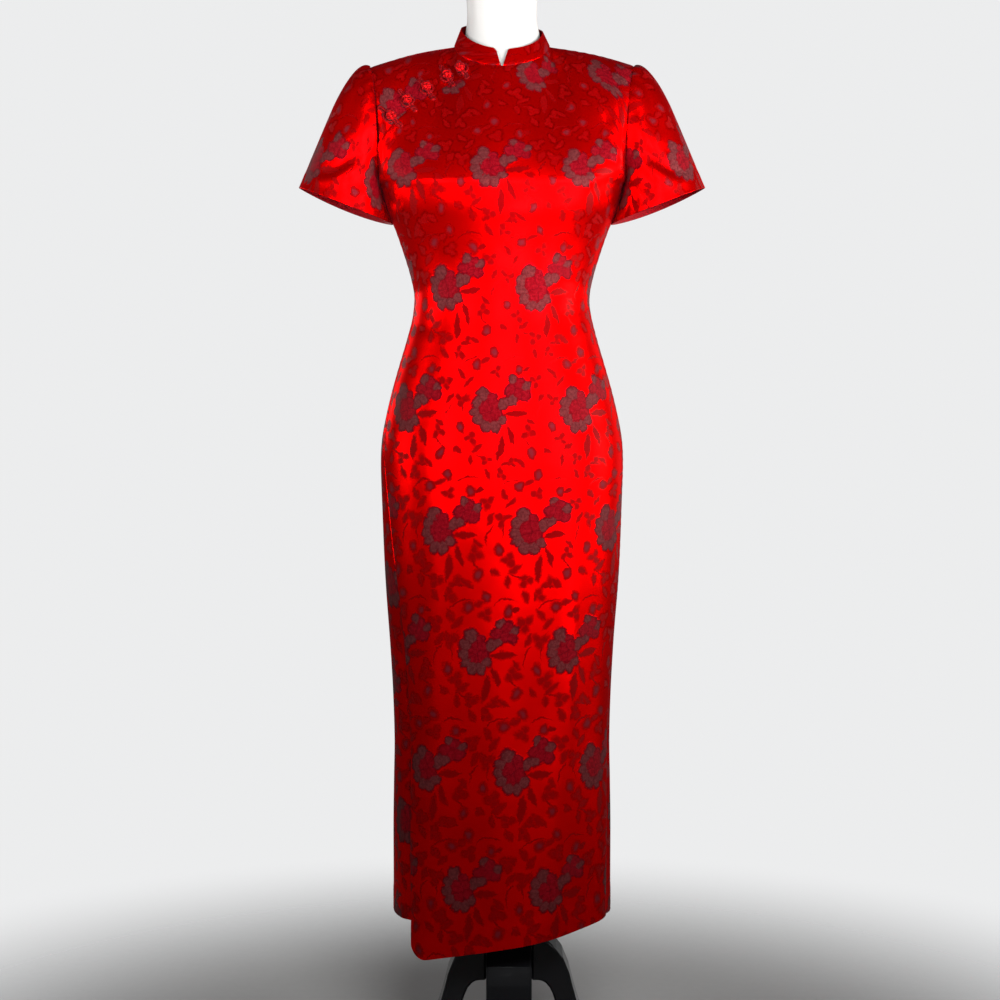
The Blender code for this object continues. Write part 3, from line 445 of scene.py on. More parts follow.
# x and z of both ends, half width, depth and bow, all in millimetres
FRONT_CREASES = (
    # drag lines that run in from the side seams at the waist
    (-128, 1186, -60, 1196, 8, -1.2, 4), (-130, 1168, -72, 1166, 7, 0.9, -2),
    (-133, 1146, -84, 1132, 9, -1.1, -3), (128, 1190, 66, 1204, 8, -1, -4),
    (130, 1170, 80, 1160, 8, -1.2, 3), (134, 1140, 92, 1122, 8, 0.8, 2),
    # slack between the bust and the waist
    (-110, 1262, -70, 1210, 12, -0.9, 3), (112, 1268, 74, 1216, 11, -0.9, -3),
    (-20, 1250, -12, 1150, 15, 0.6, 2), (34, 1240, 30, 1140, 16, -0.6, -2),
    # from the armholes towards the bust
    (-168, 1352, -120, 1318, 9, -1.8, 4), (168, 1350, 122, 1322, 9, -1.6, -4),
    (-162, 1392, -132, 1350, 10, 1.4, 3), (163, 1396, 135, 1352, 10, 1.3, -3),
    (-160, 1428, -124, 1386, 9, -1.2, 3), (162, 1440, 128, 1398, 10, -1.1, -4),
    # across the hips and down the skirt
    (-150, 1010, -92, 996, 11, -1, 3), (150, 1004, 98, 986, 12, -1, -3),
    (-96, 905, -104, 560, 20, 1.5, 6), (-62, 780, -70, 340, 22, -1.6, -5),
    (-12, 720, -18, 290, 26, 1.7, 6), (44, 760, 40, 330, 22, -1.5, -5),
    (92, 880, 96, 420, 20, 1.6, 5), (126, 760, 128, 330, 16, -1.2, -3),
    (-118, 640, -120, 260, 14, -1.3, 3), (74, 560, 66, 270, 18, 1, 4),
)
BACK_CREASES = (
    (-120, 1200, -48, 1206, 9, -1.5, 4), (-126, 1176, -60, 1168, 8, 1.2, -3),
    (-130, 1150, -70, 1136, 10, -1.6, -4), (122, 1204, 56, 1214, 9, -1.4, -4),
    (126, 1178, 50, 1172, 9, -1.5, 3), (130, 1146, 66, 1126, 9, 1.1, 2),
    (-30, 1188, 34, 1184, 10, -1.3, 3), (-44, 1160, 26, 1154, 9, 1, -3),
    (-168, 1356, -112, 1300, 11, -1.8, 5), (168, 1354, 108, 1306, 11, -1.7, -5),
    (-160, 1420, -100, 1372, 12, 1.3, 4), (160, 1424, 104, 1380, 12, 1.2, -4),
    (-152, 1470, -96, 1440, 10, -1, 3), (150, 1474, 92, 1446, 10, -1, -3),
    (-140, 1000, -70, 980, 13, -1.1, 4), (142, 1004, 76, 980, 13, -1.2, -4),
    (-120, 900, -118, 400, 22, 1.8, 6), (-70, 820, -78, 330, 24, -1.8, -6),
    (-8, 860, -4, 340, 28, 2, 6), (52, 780, 60, 320, 22, -1.7, -5),
    (104, 880, 108, 420, 22, 1.8, 5), (24, 560, 20, 300, 18, -1, 3),
)
SLEEVE_CREASES_FRONT = (
    # x is measured from the middle of the dress outwards, as on the left sleeve
    (196, 1492, 214, 1420, 7, -1.5, 2), (206, 1486, 238, 1430, 9, 1.5, 3),
    (186, 1430, 232, 1386, 12, 2.6, -6), (199, 1384, 260, 1355, 9, -4.2, -5),
    (206, 1362, 268, 1338, 10, 2.2, -4),
    (182, 1372, 212, 1318, 10, -2, 4), (214, 1372, 236, 1326, 12, 1.6, -3),
    (246, 1452, 272, 1378, 13, -1.4, 4), (176, 1336, 204, 1304, 8, 1.6, 3),
)
SLEEVE_CREASES_BACK = (
    (194, 1490, 216, 1424, 8, -1.6, 2), (206, 1480, 244, 1424, 9, 1.4, 3),
    (184, 1424, 236, 1376, 12, 2.2, -6), (194, 1392, 256, 1366, 12, -2.4, 5),
    (180, 1366, 208, 1316, 10, -1.8, -4), (246, 1446, 268, 1370, 13, -1.4, 4),
)


def mirrored(creases: Sequence[Crease], side: Side) -> list[Crease]:
    """The creases of a left-hand piece turned to a side, each a little differently long.

    Args:
        creases: the creases of the left-hand piece.
        side: the side that they are for.

    Returns:
        New creases.
    """
    variation, shift = 0.18, 0.006  # of their sizes, and of their lower ends in metres
    made = []
    for number, crease in enumerate(creases):
        vary = 1.0 + variation * math.sin(2.4 * number + side.value)
        made.append(Crease(
            crease.face, (crease.start[0] * side.value, crease.start[1]),
            (crease.end[0] * side.value, crease.end[1] + shift * math.cos(3.1 * number * side.value)),
            crease.width * (2.0 - vary), crease.depth * vary, crease.bow * side.value,
        ))
    return made


# ---- cloth walls ----

@dataclass
class ClothNet:
    """A net of points on the outer surface of a cloth piece, with its grain.

    The direction along a row crossed with the way from row to row points outwards.
    """

    points: Array  # shape (rows, columns, 3)
    grain: Array  # metres along weft and warp, shape (rows, columns, 2)
    closed: bool = False  # each row's end meets its start
    thickness: float = 0.0013
    seamed: tuple[bool, bool, bool, bool] = (False, False, False, False)  # first, last, low, high
    hem_line: Optional[Array] = None  # where the turned-up hem is sewn

    def normals(self) -> Array:
        """Outward directions at the net's points."""
        points = self.points
        if self.closed:
            across = np.roll(points, -1, axis=1) - np.roll(points, 1, axis=1)
        else:
            across = np.gradient(points, axis=1)
        return unit(np.cross(across, np.gradient(points, axis=0)))

    def edge_distances(self) -> tuple[Array, Array, Array, Array]:
        """Distance of each point from the first and last column and the low and high row."""
        first, low = walked_along(self.points, 1), walked_along(self.points, 0)
        last, high = first[:, -1:] - first, low[-1:] - low
        if self.closed:
            first = last = np.full_like(first, 1.0)
        return first, last, low, high

    def crease(self, creases: Sequence[Crease]) -> None:
        """Moves the points out and in by some creases."""
        normals = self.normals().reshape(-1, 3)
        flat = self.points.reshape(-1, 3)
        total = sum(crease.height(flat, normals) for crease in creases)
        self.points = (flat + normals * np.reshape(total, (-1, 1))).reshape(self.points.shape)

    def pucker(self, reach: float = 0.009, depth: float = 0.00034, pitch: float = 0.0135,
               sink: float = 0.0007) -> None:
        """Draws the cloth in along its seams, in the small uneven ripples that sewing leaves.

        Args:
            reach: how far the ripples run from the seam.
            depth: their height.
            pitch: their spacing along the seam.
            sink: how deep the seam itself lies.
        """
        distances = self.edge_distances()
        walks = (distances[2], distances[2], distances[0], distances[0])
        normals = self.normals()
        total = np.zeros(self.points.shape[:2])
        for sewn, away, walked in zip(self.seamed, distances, walks):
            if sewn:
                uneven = walked / pitch * 2 * np.pi + 1.7 * np.sin(walked / (pitch * 2.7))
                ripple = depth * np.sin(uneven) * np.exp(-((away / reach) ** 2))
                total += ripple * smoothstep(0.0, 0.002, away)
                total -= sink * np.exp(-((away / 0.0035) ** 2))
        self.points = self.points + normals * total[..., None]

    def hem_fold(self, width: float, lift: float = 0.0005, prick: float = 0.00030) -> None:
        """Thickens the cloth over a turned-up hem, with the faint ridge where it ends.

        Args:
            width: height of the turned-up part.
            lift: how far the fold pushes the cloth out.
            prick: how deep each stitch draws it in.
        """
        first, _, away, _ = self.edge_distances()
        walked = self.grain[..., 0] if self.closed else first
        fold = lift * (1.0 - smoothstep(width - 0.003, width + 0.004, away))
        sewn = width - HEM_SEAM
        pricks = prick * np.exp(-(((away - sewn) / 0.0022) ** 2))
        pricks = pricks * (0.5 + 0.5 * np.cos(walked / HEM_STITCH * 2 * np.pi)) ** 3
        self.points = self.points + self.normals() * (fold - pricks)[..., None]
        self.hem_line = np.array([
            [np.interp(sewn, away[:, k], self.points[:, k, axis]) for axis in range(3)]
            for k in range(self.points.shape[1])
        ])

    def walls(self) -> tuple[Array, Array]:
        """The outer and inner points, which meet in a rounded edge along each border."""
        normals = self.normals()
        radius = self.thickness / 2
        nearest = np.minimum.reduce(self.edge_distances())
        roll = radius * (1.0 - np.sqrt(1.0 - (1.0 - np.clip(nearest / radius, 0.0, 1.0)) ** 2))
        outer = self.points - normals * roll[..., None]
        inner = self.points - normals * (self.thickness - roll)[..., None]
        return outer, inner

    def area(self) -> float:
        """Area of the net."""
        first = self.points[1:, 1:] - self.points[:-1, :-1]
        second = self.points[1:, :-1] - self.points[:-1, 1:]
        total = float(np.linalg.norm(np.cross(first, second), axis=2).sum()) / 2
        if self.closed:
            rim = np.linalg.norm(self.points[:, 0] - self.points[:, -1], axis=1)
            rise = np.linalg.norm(np.diff(self.points[:, 0], axis=0), axis=1)
            total += float((rim[1:] * rise).sum())
        return total

    def to_object(self, name: str, finishes: Sequence[Material]) -> Object:
        """Makes the wall a mesh object.

        Args:
            name: its name.
            finishes: the materials of the right side and of the wrong side.

        Returns:
            The object, linked into the scene.
        """
        rows, columns = self.points.shape[:2]
        outer, inner = self.walls()
        number = np.arange(rows * columns).reshape(rows, columns)
        border = np.zeros((rows, columns), bool)
        border[[0, -1], :] = True
        if not self.closed:
            border[:, [0, -1]] = True
        under = np.where(border, number, 0)
        under[~border] = rows * columns + np.arange(int((~border).sum()))
        places = np.concatenate([outer.reshape(-1, 3), inner[~border]])
        right_side, wrong_side = self._quads(number), self._quads(under)[:, ::-1]
        mesh = bpy.data.meshes.new(name)
        mesh.from_pydata(places.tolist(), [], np.concatenate([right_side, wrong_side]).tolist())
        turn = 2 * self.grain[:, -1:] - self.grain[:, -2:-1]
        grain = self._quads(self.grain, turn)
        corners = np.concatenate([grain, grain[:, ::-1]])
        mesh.uv_layers.new(name=UV_NAME).data.foreach_set("uv", corners.ravel().astype(np.float32))
        for finish in finishes:
            mesh.materials.append(finish)
        side = np.repeat([0, min(1, len(finishes) - 1)], [len(right_side), len(wrong_side)])
        mesh.polygons.foreach_set("material_index", side.astype(np.int32))
        mesh.shade_smooth()
        return link(bpy.data.objects.new(name, mesh))

    def _quads(self, values: Array, turn: Optional[Array] = None) -> Array:
        """The four corners of each quad of the net.

        Args:
            values: what is told of each point of the net.
            turn: the same for the point that closes each row, where it isn't the row's first.

        Returns:
            The values at the corners, one row for each quad.
        """
        if self.closed:
            values = np.concatenate([values, values[:, :1] if turn is None else turn], axis=1)
        corners = (values[:-1, :-1], values[:-1, 1:], values[1:, 1:], values[1:, :-1])
        return np.stack(corners, axis=2).reshape(-1, 4, *values.shape[2:])


def link(made: Object) -> Object:
    """Links an object into the scene and returns it."""
    bpy.context.scene.collection.objects.link(made)
    return made


def make_plain(made: Object, modifier: bpy.types.Modifier) -> None:
    """Turns an object and its one modifier into a plain smooth mesh."""
    before = made.data
    after = bpy.data.meshes.new_from_object(made.evaluated_get(bpy.context.evaluated_depsgraph_get()))
    made.modifiers.remove(modifier)
    made.data = after
    bpy.data.meshes.remove(before)
    after.shade_smooth()


def settle(made: Object, slot: str, *nodes: str) -> Object:
    """Puts a finished piece on the dress's one body in place of some solids.

    Args:
        made: the piece.
        slot: not used.
        nodes: the solids that it stands for.

    Returns:
        The piece.
    """
    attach(made, "root")
    if nodes:
        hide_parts(*nodes)
    LOG.info("%s: %d faces", made.name, len(made.data.polygons))
    return made


def edge_shares(length: float, count: int) -> Array:
    """Shares of a length for net lines that crowd together at both its ends.

    Args:
        length: the whole length.
        count: how many even spaces lie between the crowded ends.

    Returns:
        Shares from 0 to 1.
    """
    near = np.array([0.0, *EDGE_PLACES])
    middle = np.linspace(near[-1], length - near[-1], count + 1)[1:-1]
    return np.concatenate([near, middle, (length - near)[::-1]]) / length


def low_shares(length: float, count: int) -> Array:
    """Shares of a length for net lines that crowd together at its high end only."""
    near = np.array([0.0, *EDGE_PLACES])
    even = np.linspace(0.0, length - near[-1], count + 1)[:-1]
    return np.concatenate([even, (length - near)[::-1]]) / length


# ---- the pieces of the dress ----

@dataclass
class Cutting:
    """What all the cloth pieces share: the body, the opening, and the two sides of the cloth."""

    body: BodySurface
    opening: SideOpening
    right_side: Material
    wrong_side: Material
    thread: Material
    chest_ease: float = 1.16  # warp that the bust darts take up above the underarm

    def sewn(self, name: str, net: ClothNet, held: str, on: Sequence[str], *nodes: str) -> Object:
        """Makes a net a cloth object in place of its solid, with stitches along its hem where it has a hem
        line.

        Args:
            name: the piece's name.
            net: its net.
            held: not used.
            on: not used.
            nodes: the solids that it stands for.

        Returns:
            The finished piece.
        """
        made = net.to_object(name, (self.right_side, self.wrong_side))
        settle(made, "red_brocade", *nodes)
        area = net.area()
        if net.hem_line is not None:
            StitchRow(HEM_STITCH, 0.0011, 0.0003).build(f"{name}_hem_stitches", net.hem_line, self.thread)
        return made


@dataclass
class BodyPanel:
    """What the big front and the whole back share: a skirt with a hem, and a chest above it."""

    cutting: Cutting
    columns: int
    skirt_pitch: float  # from row to row below the underarm
    chest_rows: int
    grain_shift: Pair  # where the pattern starts, along weft and warp
    grain_drift: float  # how far the warp has swung aside at the hem
    drift_top_z: float = 1.00  # where it starts to swing
    hem_blend_z: float = 0.60  # above this the rows are level
    hem_width: float = 0.034
    side_trim: float = 0.0008
    top_gap: float = 0.0006  # share of the chest left open under the neckline seam

    def levels(self) -> list[float]:
        """Heights of the rows from the hem to below the underarm."""
        body = self.cutting.body
        low = [body.sections[0][0] + place for place in (0.0, *EDGE_PLACES)]
        count = round((body.underarm_z - low[0]) / self.skirt_pitch)
        return low + list(np.linspace(low[-1], body.underarm_z, count + 1)[1:-1])

    def hem_drop(self, z: float) -> float:
        """Share of the hem's own height that the row at a height follows."""
        return 1.0 - smoothstep(self.cutting.body.sections[0][0], self.hem_blend_z, z)

    def spaced(self, z: float, start: float, end: float, trims: Sequence[float]) -> tuple[Array, Array]:
        """Points of a row between two angles, short of them by some trims.

        Args:
            z: the row's height.
            start: the angle of its first seam.
            end: the angle of its last one.
            trims: how much is left off at each.

        Returns:
            The points, and their shares of the row.
        """
        body = self.cutting.body
        length = body.arc_length(z, start, end)
        share = edge_shares(length - sum(trims), self.columns)
        return body.arc(z, start, end, (trims[0] + share * (length - sum(trims))) / length), share

    def chest_places(self, start: float, end: float) -> Array:
        """Places across the chest's rows between the angles of two side seams, -1 to 1."""
        body = self.cutting.body
        share = edge_shares(body.arc_length(body.underarm_z, start, end), self.columns)
        return (2 * share - 1) * (1.0 - self.side_trim)

    def finished(self, rows: Sequence[Array], face: Face, creases: Sequence[tuple]) -> ClothNet:
        """The panel's net, creased, puckered and hemmed.

        Args:
            rows: its rows of points from the hem up.
            face: the front or the back.
            creases: rows of the table of its creases.

        Returns:
            The net.
        """
        points = np.array(rows)
        grain = body_grain(points, self.cutting, self.grain_shift, self.grain_drift, self.drift_top_z)
        net = ClothNet(points, grain, seamed=(True, True, False, True))
        net.crease(creases_of(face, creases))
        net.pucker()
        net.hem_fold(self.hem_width)
        return net


@dataclass
class FrontPanel(BodyPanel):
    """The big front, from its slanted hem to the neckline and the side opening."""

    columns: int = 116
    skirt_pitch: float = 0.0060
    chest_rows: int = 40
    grain_shift: Pair = (0.004, 0.0)
    grain_drift: float = -0.052
    hem_left_z: float = 0.223  # seen from the front: the wearer's right
    hem_right_z: float = 0.283
    hem_slope: float = 0.87
    hem_corner: float = 0.024  # rise of the rounded corner at the right slit
    hem_corner_share: float = 0.10
    hem_corner_curve: float = 2.2

    def hem(self, share: Array) -> Array:
        """Height of the hem across the panel, share running from 0 to 1."""
        corner = np.maximum(0.0, 1.0 - share / self.hem_corner_share)
        slant = (self.hem_right_z - self.hem_left_z) * share ** self.hem_slope
        return self.hem_left_z + slant + self.hem_corner * corner ** self.hem_corner_curve

    def net(self) -> ClothNet:
        """The panel's net."""
        body, opening = self.cutting.body, self.cutting.opening
        rows = []
        for z in self.levels():
            sizes = body.section(z)
            row, share = self.spaced(z, sizes["left_seam"], sizes["right_seam"],
                                     (sizes["left_slit"] / 2, sizes["right_slit"] / 2))
            row[:, 2] += (self.hem(share) - body.sections[0][0]) * self.hem_drop(z)
            rows.append(row)
        across = self.chest_places(-90.0, 90.0)
        tops = np.minimum([opening.top(u) for u in across], 1.0 - self.top_gap)
        steps = low_shares(CHEST_HEIGHT, self.chest_rows)
        rows += [body.chest(across, step * tops, Face.FRONT) for step in steps]
        return self.finished(rows, Face.FRONT, FRONT_CREASES)

    def build(self) -> Object:
        """Makes the panel in place of its solid."""
        return self.cutting.sewn("big_front", self.net(), "draped", ("form_torso",), "front_panel")


def body_grain(points: Array, cutting: Cutting, shift: tuple, drift: float, drift_top_z: float) -> Array:
    """Weft and warp of a panel that hangs from the shoulders.

    Args:
        points: the panel's net.
        cutting: the sizes that the pieces share.
        shift: where the pattern starts, along weft and warp.
        drift: how far the warp has swung aside at the hem.
        drift_top_z: the height where it starts to swing.

    Returns:
        Metres along weft and warp at each point.
    """
    underarm_z = cutting.body.underarm_z
    grain = np.zeros((*points.shape[:2], 2))
    for number, row in enumerate(points):
        walked = along_row(row)
        order = np.argsort(row[:, 0])
        grain[number, :, 0] = walked - np.interp(0.0, row[order, 0], walked[order])
    climbed = walked_along(points, 0)
    above = points[..., 2] > underarm_z - 1e-6
    first = int(np.argmax(above.any(axis=1)))
    grain[..., 1] = points[..., 2]
    grain[first:, :, 1] = underarm_z + (climbed[first:] - climbed[first]) * cutting.chest_ease
    low = points[..., 2].min()
    fall = np.clip((drift_top_z - points[..., 2]) / (drift_top_z - low), 0.0, 1.0)
    grain[..., 0] += shift[0] - drift * fall ** 1.15
    grain[..., 1] += shift[1]
    return grain


@dataclass
class BackPanel(BodyPanel):
    """The whole back, from its level hem to the back neckline."""

    columns: int = 110
    skirt_pitch: float = 0.0064
    chest_rows: int = 36
    grain_shift: Pair = (0.031, 0.083)
    grain_drift: float = 0.018
    hem_z: float = 0.281
    open_slit: Pair = (0.0004, 0.0035)  # a seam up to the first, a slit from the second
    underlaps: Pair = (0.002, 0.005)  # how far it runs on behind the front's edges
    underlap_sinks: Pair = (0.004, 0.006)  # and how deep
    sink_reach: Pair = (0.010, 0.032)  # from its edge to where it lies level again

    def net(self) -> ClothNet:
        """The panel's net."""
        body = self.cutting.body
        rows = []
        for z in self.levels():
            sizes = body.section(z)
            start, end = sizes["right_seam"], 360.0 + sizes["left_seam"]
            slits = np.array([sizes["right_slit"], sizes["left_slit"]])
            opened = smoothstep(*self.open_slit, slits)
            laps = (slits + self.underlaps) * opened
            start -= laps[0] / body.arc_length(z, start, start + 1.0)
            end += laps[1] / body.arc_length(z, end, end + 1.0)
            row, share = self.spaced(z, start, end, slits / 2)
            length = body.arc_length(z, start, end)
            for sink, way in zip(self.underlap_sinks * opened, (share, 1.0 - share)):
                sunk = sink * (1.0 - smoothstep(*self.sink_reach, way * length))
                row -= unit(row * LEVEL) * np.asarray(sunk)[:, None]
            row[:, 2] += (self.hem_z - body.sections[0][0]) * self.hem_drop(z)
            rows.append(row)
        across = -self.chest_places(90.0, 270.0)
        steps = low_shares(CHEST_HEIGHT, self.chest_rows) * (1.0 - self.top_gap)
        rows += [body.chest(across, step, Face.BACK) for step in steps]
        return self.finished(rows, Face.BACK, BACK_CREASES)

    def build(self) -> Object:
        """Makes the panel in place of its solid."""
        return self.cutting.sewn("whole_back", self.net(), "draped", ("form_torso",), "back_panel")


@dataclass
class ShoulderPiece:
    """The small front under the opening's edge, from the neckline to the right armhole."""

    cutting: Cutting
    columns: int = 44
    rows: int = 40
    overlap: float = 0.02  # how far it runs on past the opening's neckline end
    width: float = 0.20  # about its size, for the spacing of the net's lines
    height: float = 0.11
    side_trim: float = 0.0008
    top_gap: float = 0.0006
    step: float = 0.005  # in which the place of the opening's end is searched
    low_limit: float = 0.995  # its lower edge never comes nearer to the neckline
    grain_shift: Pair = (0.012, 0.026)

    def net(self) -> ClothNet:
        """The piece's net, sunk under the big front's edge."""
        body, opening = self.cutting.body, self.cutting.opening
        last = -1.0
        while opening.top(last + self.step) < 1.0:
            last += self.step
        last += self.overlap
        share = edge_shares(self.width, self.columns)
        across = -1.0 + self.side_trim + (last + 1.0) * share
        tops = np.array([min(opening.top(u), self.low_limit) for u in across])
        steps = edge_shares(self.height, self.rows)
        low = tops - opening.flap
        points = np.array([
            body.chest(across, low + (1.0 - self.top_gap - low) * step, Face.FRONT) for step in steps])
        grain = body_grain(points, self.cutting, self.grain_shift, 0.0, body.underarm_z)
        grain[..., 1] = points[..., 2] * self.cutting.chest_ease + self.grain_shift[1]
        net = ClothNet(points, grain, seamed=(True, False, False, True))
        net.points = net.points - net.normals() * opening.sink
        net.crease(creases_of(Face.FRONT, FRONT_CREASES))
        net.pucker()
        return net

    def build(self) -> Object:
        """Makes the piece in place of its solid."""
        return self.cutting.sewn("small_front", self.net(), "draped", ("form_torso",), "shoulder_piece")


@dataclass
class Sleeve:
    """A short set-in sleeve, from the armhole to its slanted cuff."""

    cutting: Cutting
    side: Side
    cuff_outer: Pair = (0.293, 1.3365)
    cuff_inner: Pair = (0.1580, 1.2845)
    cuff_half_depth: float = 0.079
    cuff_y: float = 0.004
    cuff_sag: float = 0.0045  # how much lower the back of the cuff hangs
    tuck: float = 0.0032  # width of the seam allowance under the armhole's edge
    hem_width: float = 0.024
    gap: float = 0.0006  # from the armhole's edge
    leave_out: Pair = (0.080, 0.020)  # its way outwards from the armhole, and the crown's share
    leave_aside: float = 0.030  # forwards in front, backwards behind
    leave_up: Pair = (0.030, 0.040)  # down at the sides, up at the crown
    arrive: Triple = (0.055, 0.004, 0.115)  # its way into the cuff: out, aside and down
    leave_under: Triple = (-0.006, 0.0, -0.044)  # its way from the underarm
    arrive_under: Triple = (-0.012, 0.0, -0.058)  # and into the cuff there
    length: float = 0.16  # about its size, for the spacing of the rows
    rows: int = 44
    half_ring: int = 56  # net lines round the front half, and as many round the back

    def net(self) -> ClothNet:
        """The sleeve's net, from the cuff up to the armhole."""
        side, body = self.side.value, self.cutting.body
        outer, inner = (np.array([x, self.cuff_y, z]) for x, z in (self.cuff_outer, self.cuff_inner))
        centre, reach = (outer + inner) / 2, (outer - inner) / 2
        round_share = (1.0 - np.cos(np.linspace(0.0, np.pi, self.half_ring + 1))) / 2
        even = np.linspace(0.0, 1.0, self.half_ring + 1)
        steps = (round_share + even) / 2
        t = np.concatenate([steps[::-1], steps[1:-1]])
        in_front = np.arange(len(t)) <= self.half_ring
        angle = np.pi * (1.0 - t)
        up, forward = np.cos(angle), np.sin(angle) * np.where(in_front, 1.0, -1.0)
        hole = np.where(in_front[:, None], body.armhole(t, 1.0, Face.FRONT), body.armhole(t, 1.0, Face.BACK))
        start = hole + stacked(self.gap, 0.0, self.gap - self.gap / 2 * t)
        end = centre + reach * up[:, None] + stacked(0.0, -self.cuff_half_depth * forward, 0.0)
        crown, under = np.maximum(0.0, up), np.maximum(0.0, -up)[:, None]
        leave = stacked(self.leave_out[0] + self.leave_out[1] * crown, -self.leave_aside * forward,
                        self.leave_up[1] * crown - self.leave_up[0] * (1 - crown))
        leave = leave * (1 - under) + np.array(self.leave_under) * under
        arrive = stacked(self.arrive[0], -self.arrive[1] * forward, -self.arrive[2])
        arrive = arrive * (1 - under) + np.array(self.arrive_under) * under
        end[:, 2] -= np.where(in_front, 0.0, self.cuff_sag) * np.sin(angle) ** 2
        under_edge = start + self.tuck * stacked(-1.0, 0.6 * forward, -0.5 * up)
        rows = [under_edge]
        rows += [hermite(start, end, leave, arrive, share) for share in edge_shares(self.length, self.rows)]
        points = np.array(rows) * np.array([side, 1.0, 1.0])
        if self.side is Side.LEFT:
            points = points[:, ::-1]
        points = points[::-1]
        net = ClothNet(points, self.grain(points), closed=True, seamed=(False, False, False, True))
        creases = creases_of(Face.FRONT, SLEEVE_CREASES_FRONT) + creases_of(Face.BACK, SLEEVE_CREASES_BACK)
        net.crease(mirrored(creases, self.side))
        self.ease_crown(net)
        net.pucker(reach=0.012, depth=0.0005)
        net.hem_fold(self.hem_width)
        return net

    def ease_crown(self, net: ClothNet, depth: float = 0.0011, pitch: float = 0.017) -> None:
        """Small gathers where the sleeve's fullness is eased into the shoulder."""
        high = net.edge_distances()[3]
        walked = net.grain[..., 0]
        crown = smoothstep(1.43, 1.49, net.points[..., 2])
        gathers = depth * np.sin(walked / pitch * 2 * np.pi + 0.9 * np.sin(walked / 0.031))
        fade = np.exp(-((high / 0.022) ** 2)) * smoothstep(0.0, 0.003, high) * crown
        net.points = net.points + net.normals() * (gathers * fade)[..., None]

    def grain(self, points: Array) -> Array:
        """Weft round the sleeve, from the middle of its front, and warp up from the cuff."""
        walked = walked_along(np.concatenate([points, points[:, :1]], axis=1), 1)
        middle = self.half_ring // 2
        weft = walked[:, :-1] - walked[:, middle:middle + 1]
        wide = walked[:, -1:]
        weft = weft * (wide.mean() / wide) ** 0.5
        shift = (0.020, 0.118) if self.side is Side.LEFT else (-0.002, 0.122)
        return stacked(weft + shift[0], walked_along(points, 0) + shift[1])

    def build(self) -> Object:
        """Makes the sleeve in place of its solid."""
        side = self.side.name.lower()
        return self.cutting.sewn(f"{side}_sleeve", self.net(), "hung", ("big_front", "whole_back"),
                                 f"sleeve_{side}")


@dataclass
class Collar:
    """The standing band collar, open in a notch at the front middle."""

    cutting: Cutting
    back_height: float = 0.0275
    side_height: float = 0.0260
    left_drop: float = 0.0050  # how much lower its left side has settled
    front_height: float = 0.0245
    lean: Pair = (0.0080, 0.0105)  # inwards, at the front and from its sides on
    notch: float = 1.4  # half of the open notch at the seam, in degrees
    notch_top: float = 7.5
    neck_centre_y: float = -0.002
    length: float = 0.36  # about its size, for the spacing of the net's lines
    columns: int = 150
    rows: int = 14
    lift: float = 0.0006
    tuck: float = 0.0030  # width of the seam allowance under the neckline's edge
    corner_round: float = 0.006  # radius of the two front corners

    def net(self) -> ClothNet:
        """The collar's net, from the right front corner round the back to the left one."""
        body = self.cutting.body
        even = edge_shares(self.length, self.columns)
        rows = []
        for level in edge_shares(0.03, self.rows):
            notch = self.notch + (self.notch_top - self.notch) * level ** 1.25
            degrees = 180.0 + (180.0 - notch) * (2 * even - 1)
            base = body.neckline(degrees)
            away = unit((base - np.array([0.0, self.neck_centre_y, 0.0])) * LEVEL)
            turn = 180.0 - np.abs(degrees - 180.0)
            height = self.front_height + (self.side_height - self.front_height) * smoothstep(0, 90, turn)
            height += (self.back_height - self.side_height) * smoothstep(90, 180, turn)
            height -= self.left_drop * np.maximum(0.0, np.sin(np.radians(degrees)))
            from_front = np.minimum(even, 1.0 - even) * self.length
            corner = np.clip(1.0 - from_front / self.corner_round, 0.0, 1.0)
            height -= self.corner_round * (1.0 - np.sqrt(1.0 - corner ** 2)) * 0.8
            lean = self.lean[0] + (self.lean[1] - self.lean[0]) * smoothstep(25, 90, turn)
            point = base - away * (lean * level)[:, None]
            point[:, 2] += self.lift + height * level
            rows.append(point)
        under_edge = rows[0] - away * 0.0008 - np.array([0.0, 0.0, self.tuck])
        points = np.array([under_edge, *rows])
        grain = stacked(*(walked_along(points, axis) + shift for axis, shift in ((1, 0.017), (0, 0.051))))
        net = ClothNet(points, grain, seamed=(False, False, True, False))
        net.pucker(reach=0.005, depth=0.0002)
        return net

    def build(self) -> Object:
        """Makes the collar in place of its solid."""
        return self.cutting.sewn("stand_collar", self.net(), "hung", ("big_front", "whole_back"), "collar")


# ---- shader maths ----

Term = Union["Value", Number]


def operation(name: str, turned: bool = False) -> Callable[..., "Value"]:
    """A method that adds a Math node on a number and, where it takes one, another.

    Args:
        name: the node's operation.
        turned: whether the other number comes first.

    Returns:
        The method.
    """
    def method(self: "Value", *others: Term) -> "Value":
        """The Math node on the numbers."""
        terms = (*others, self) if turned else (self, *others)
        return self.graph.value("ShaderNodeMath", dict(enumerate(terms)), operation=name)
    return method


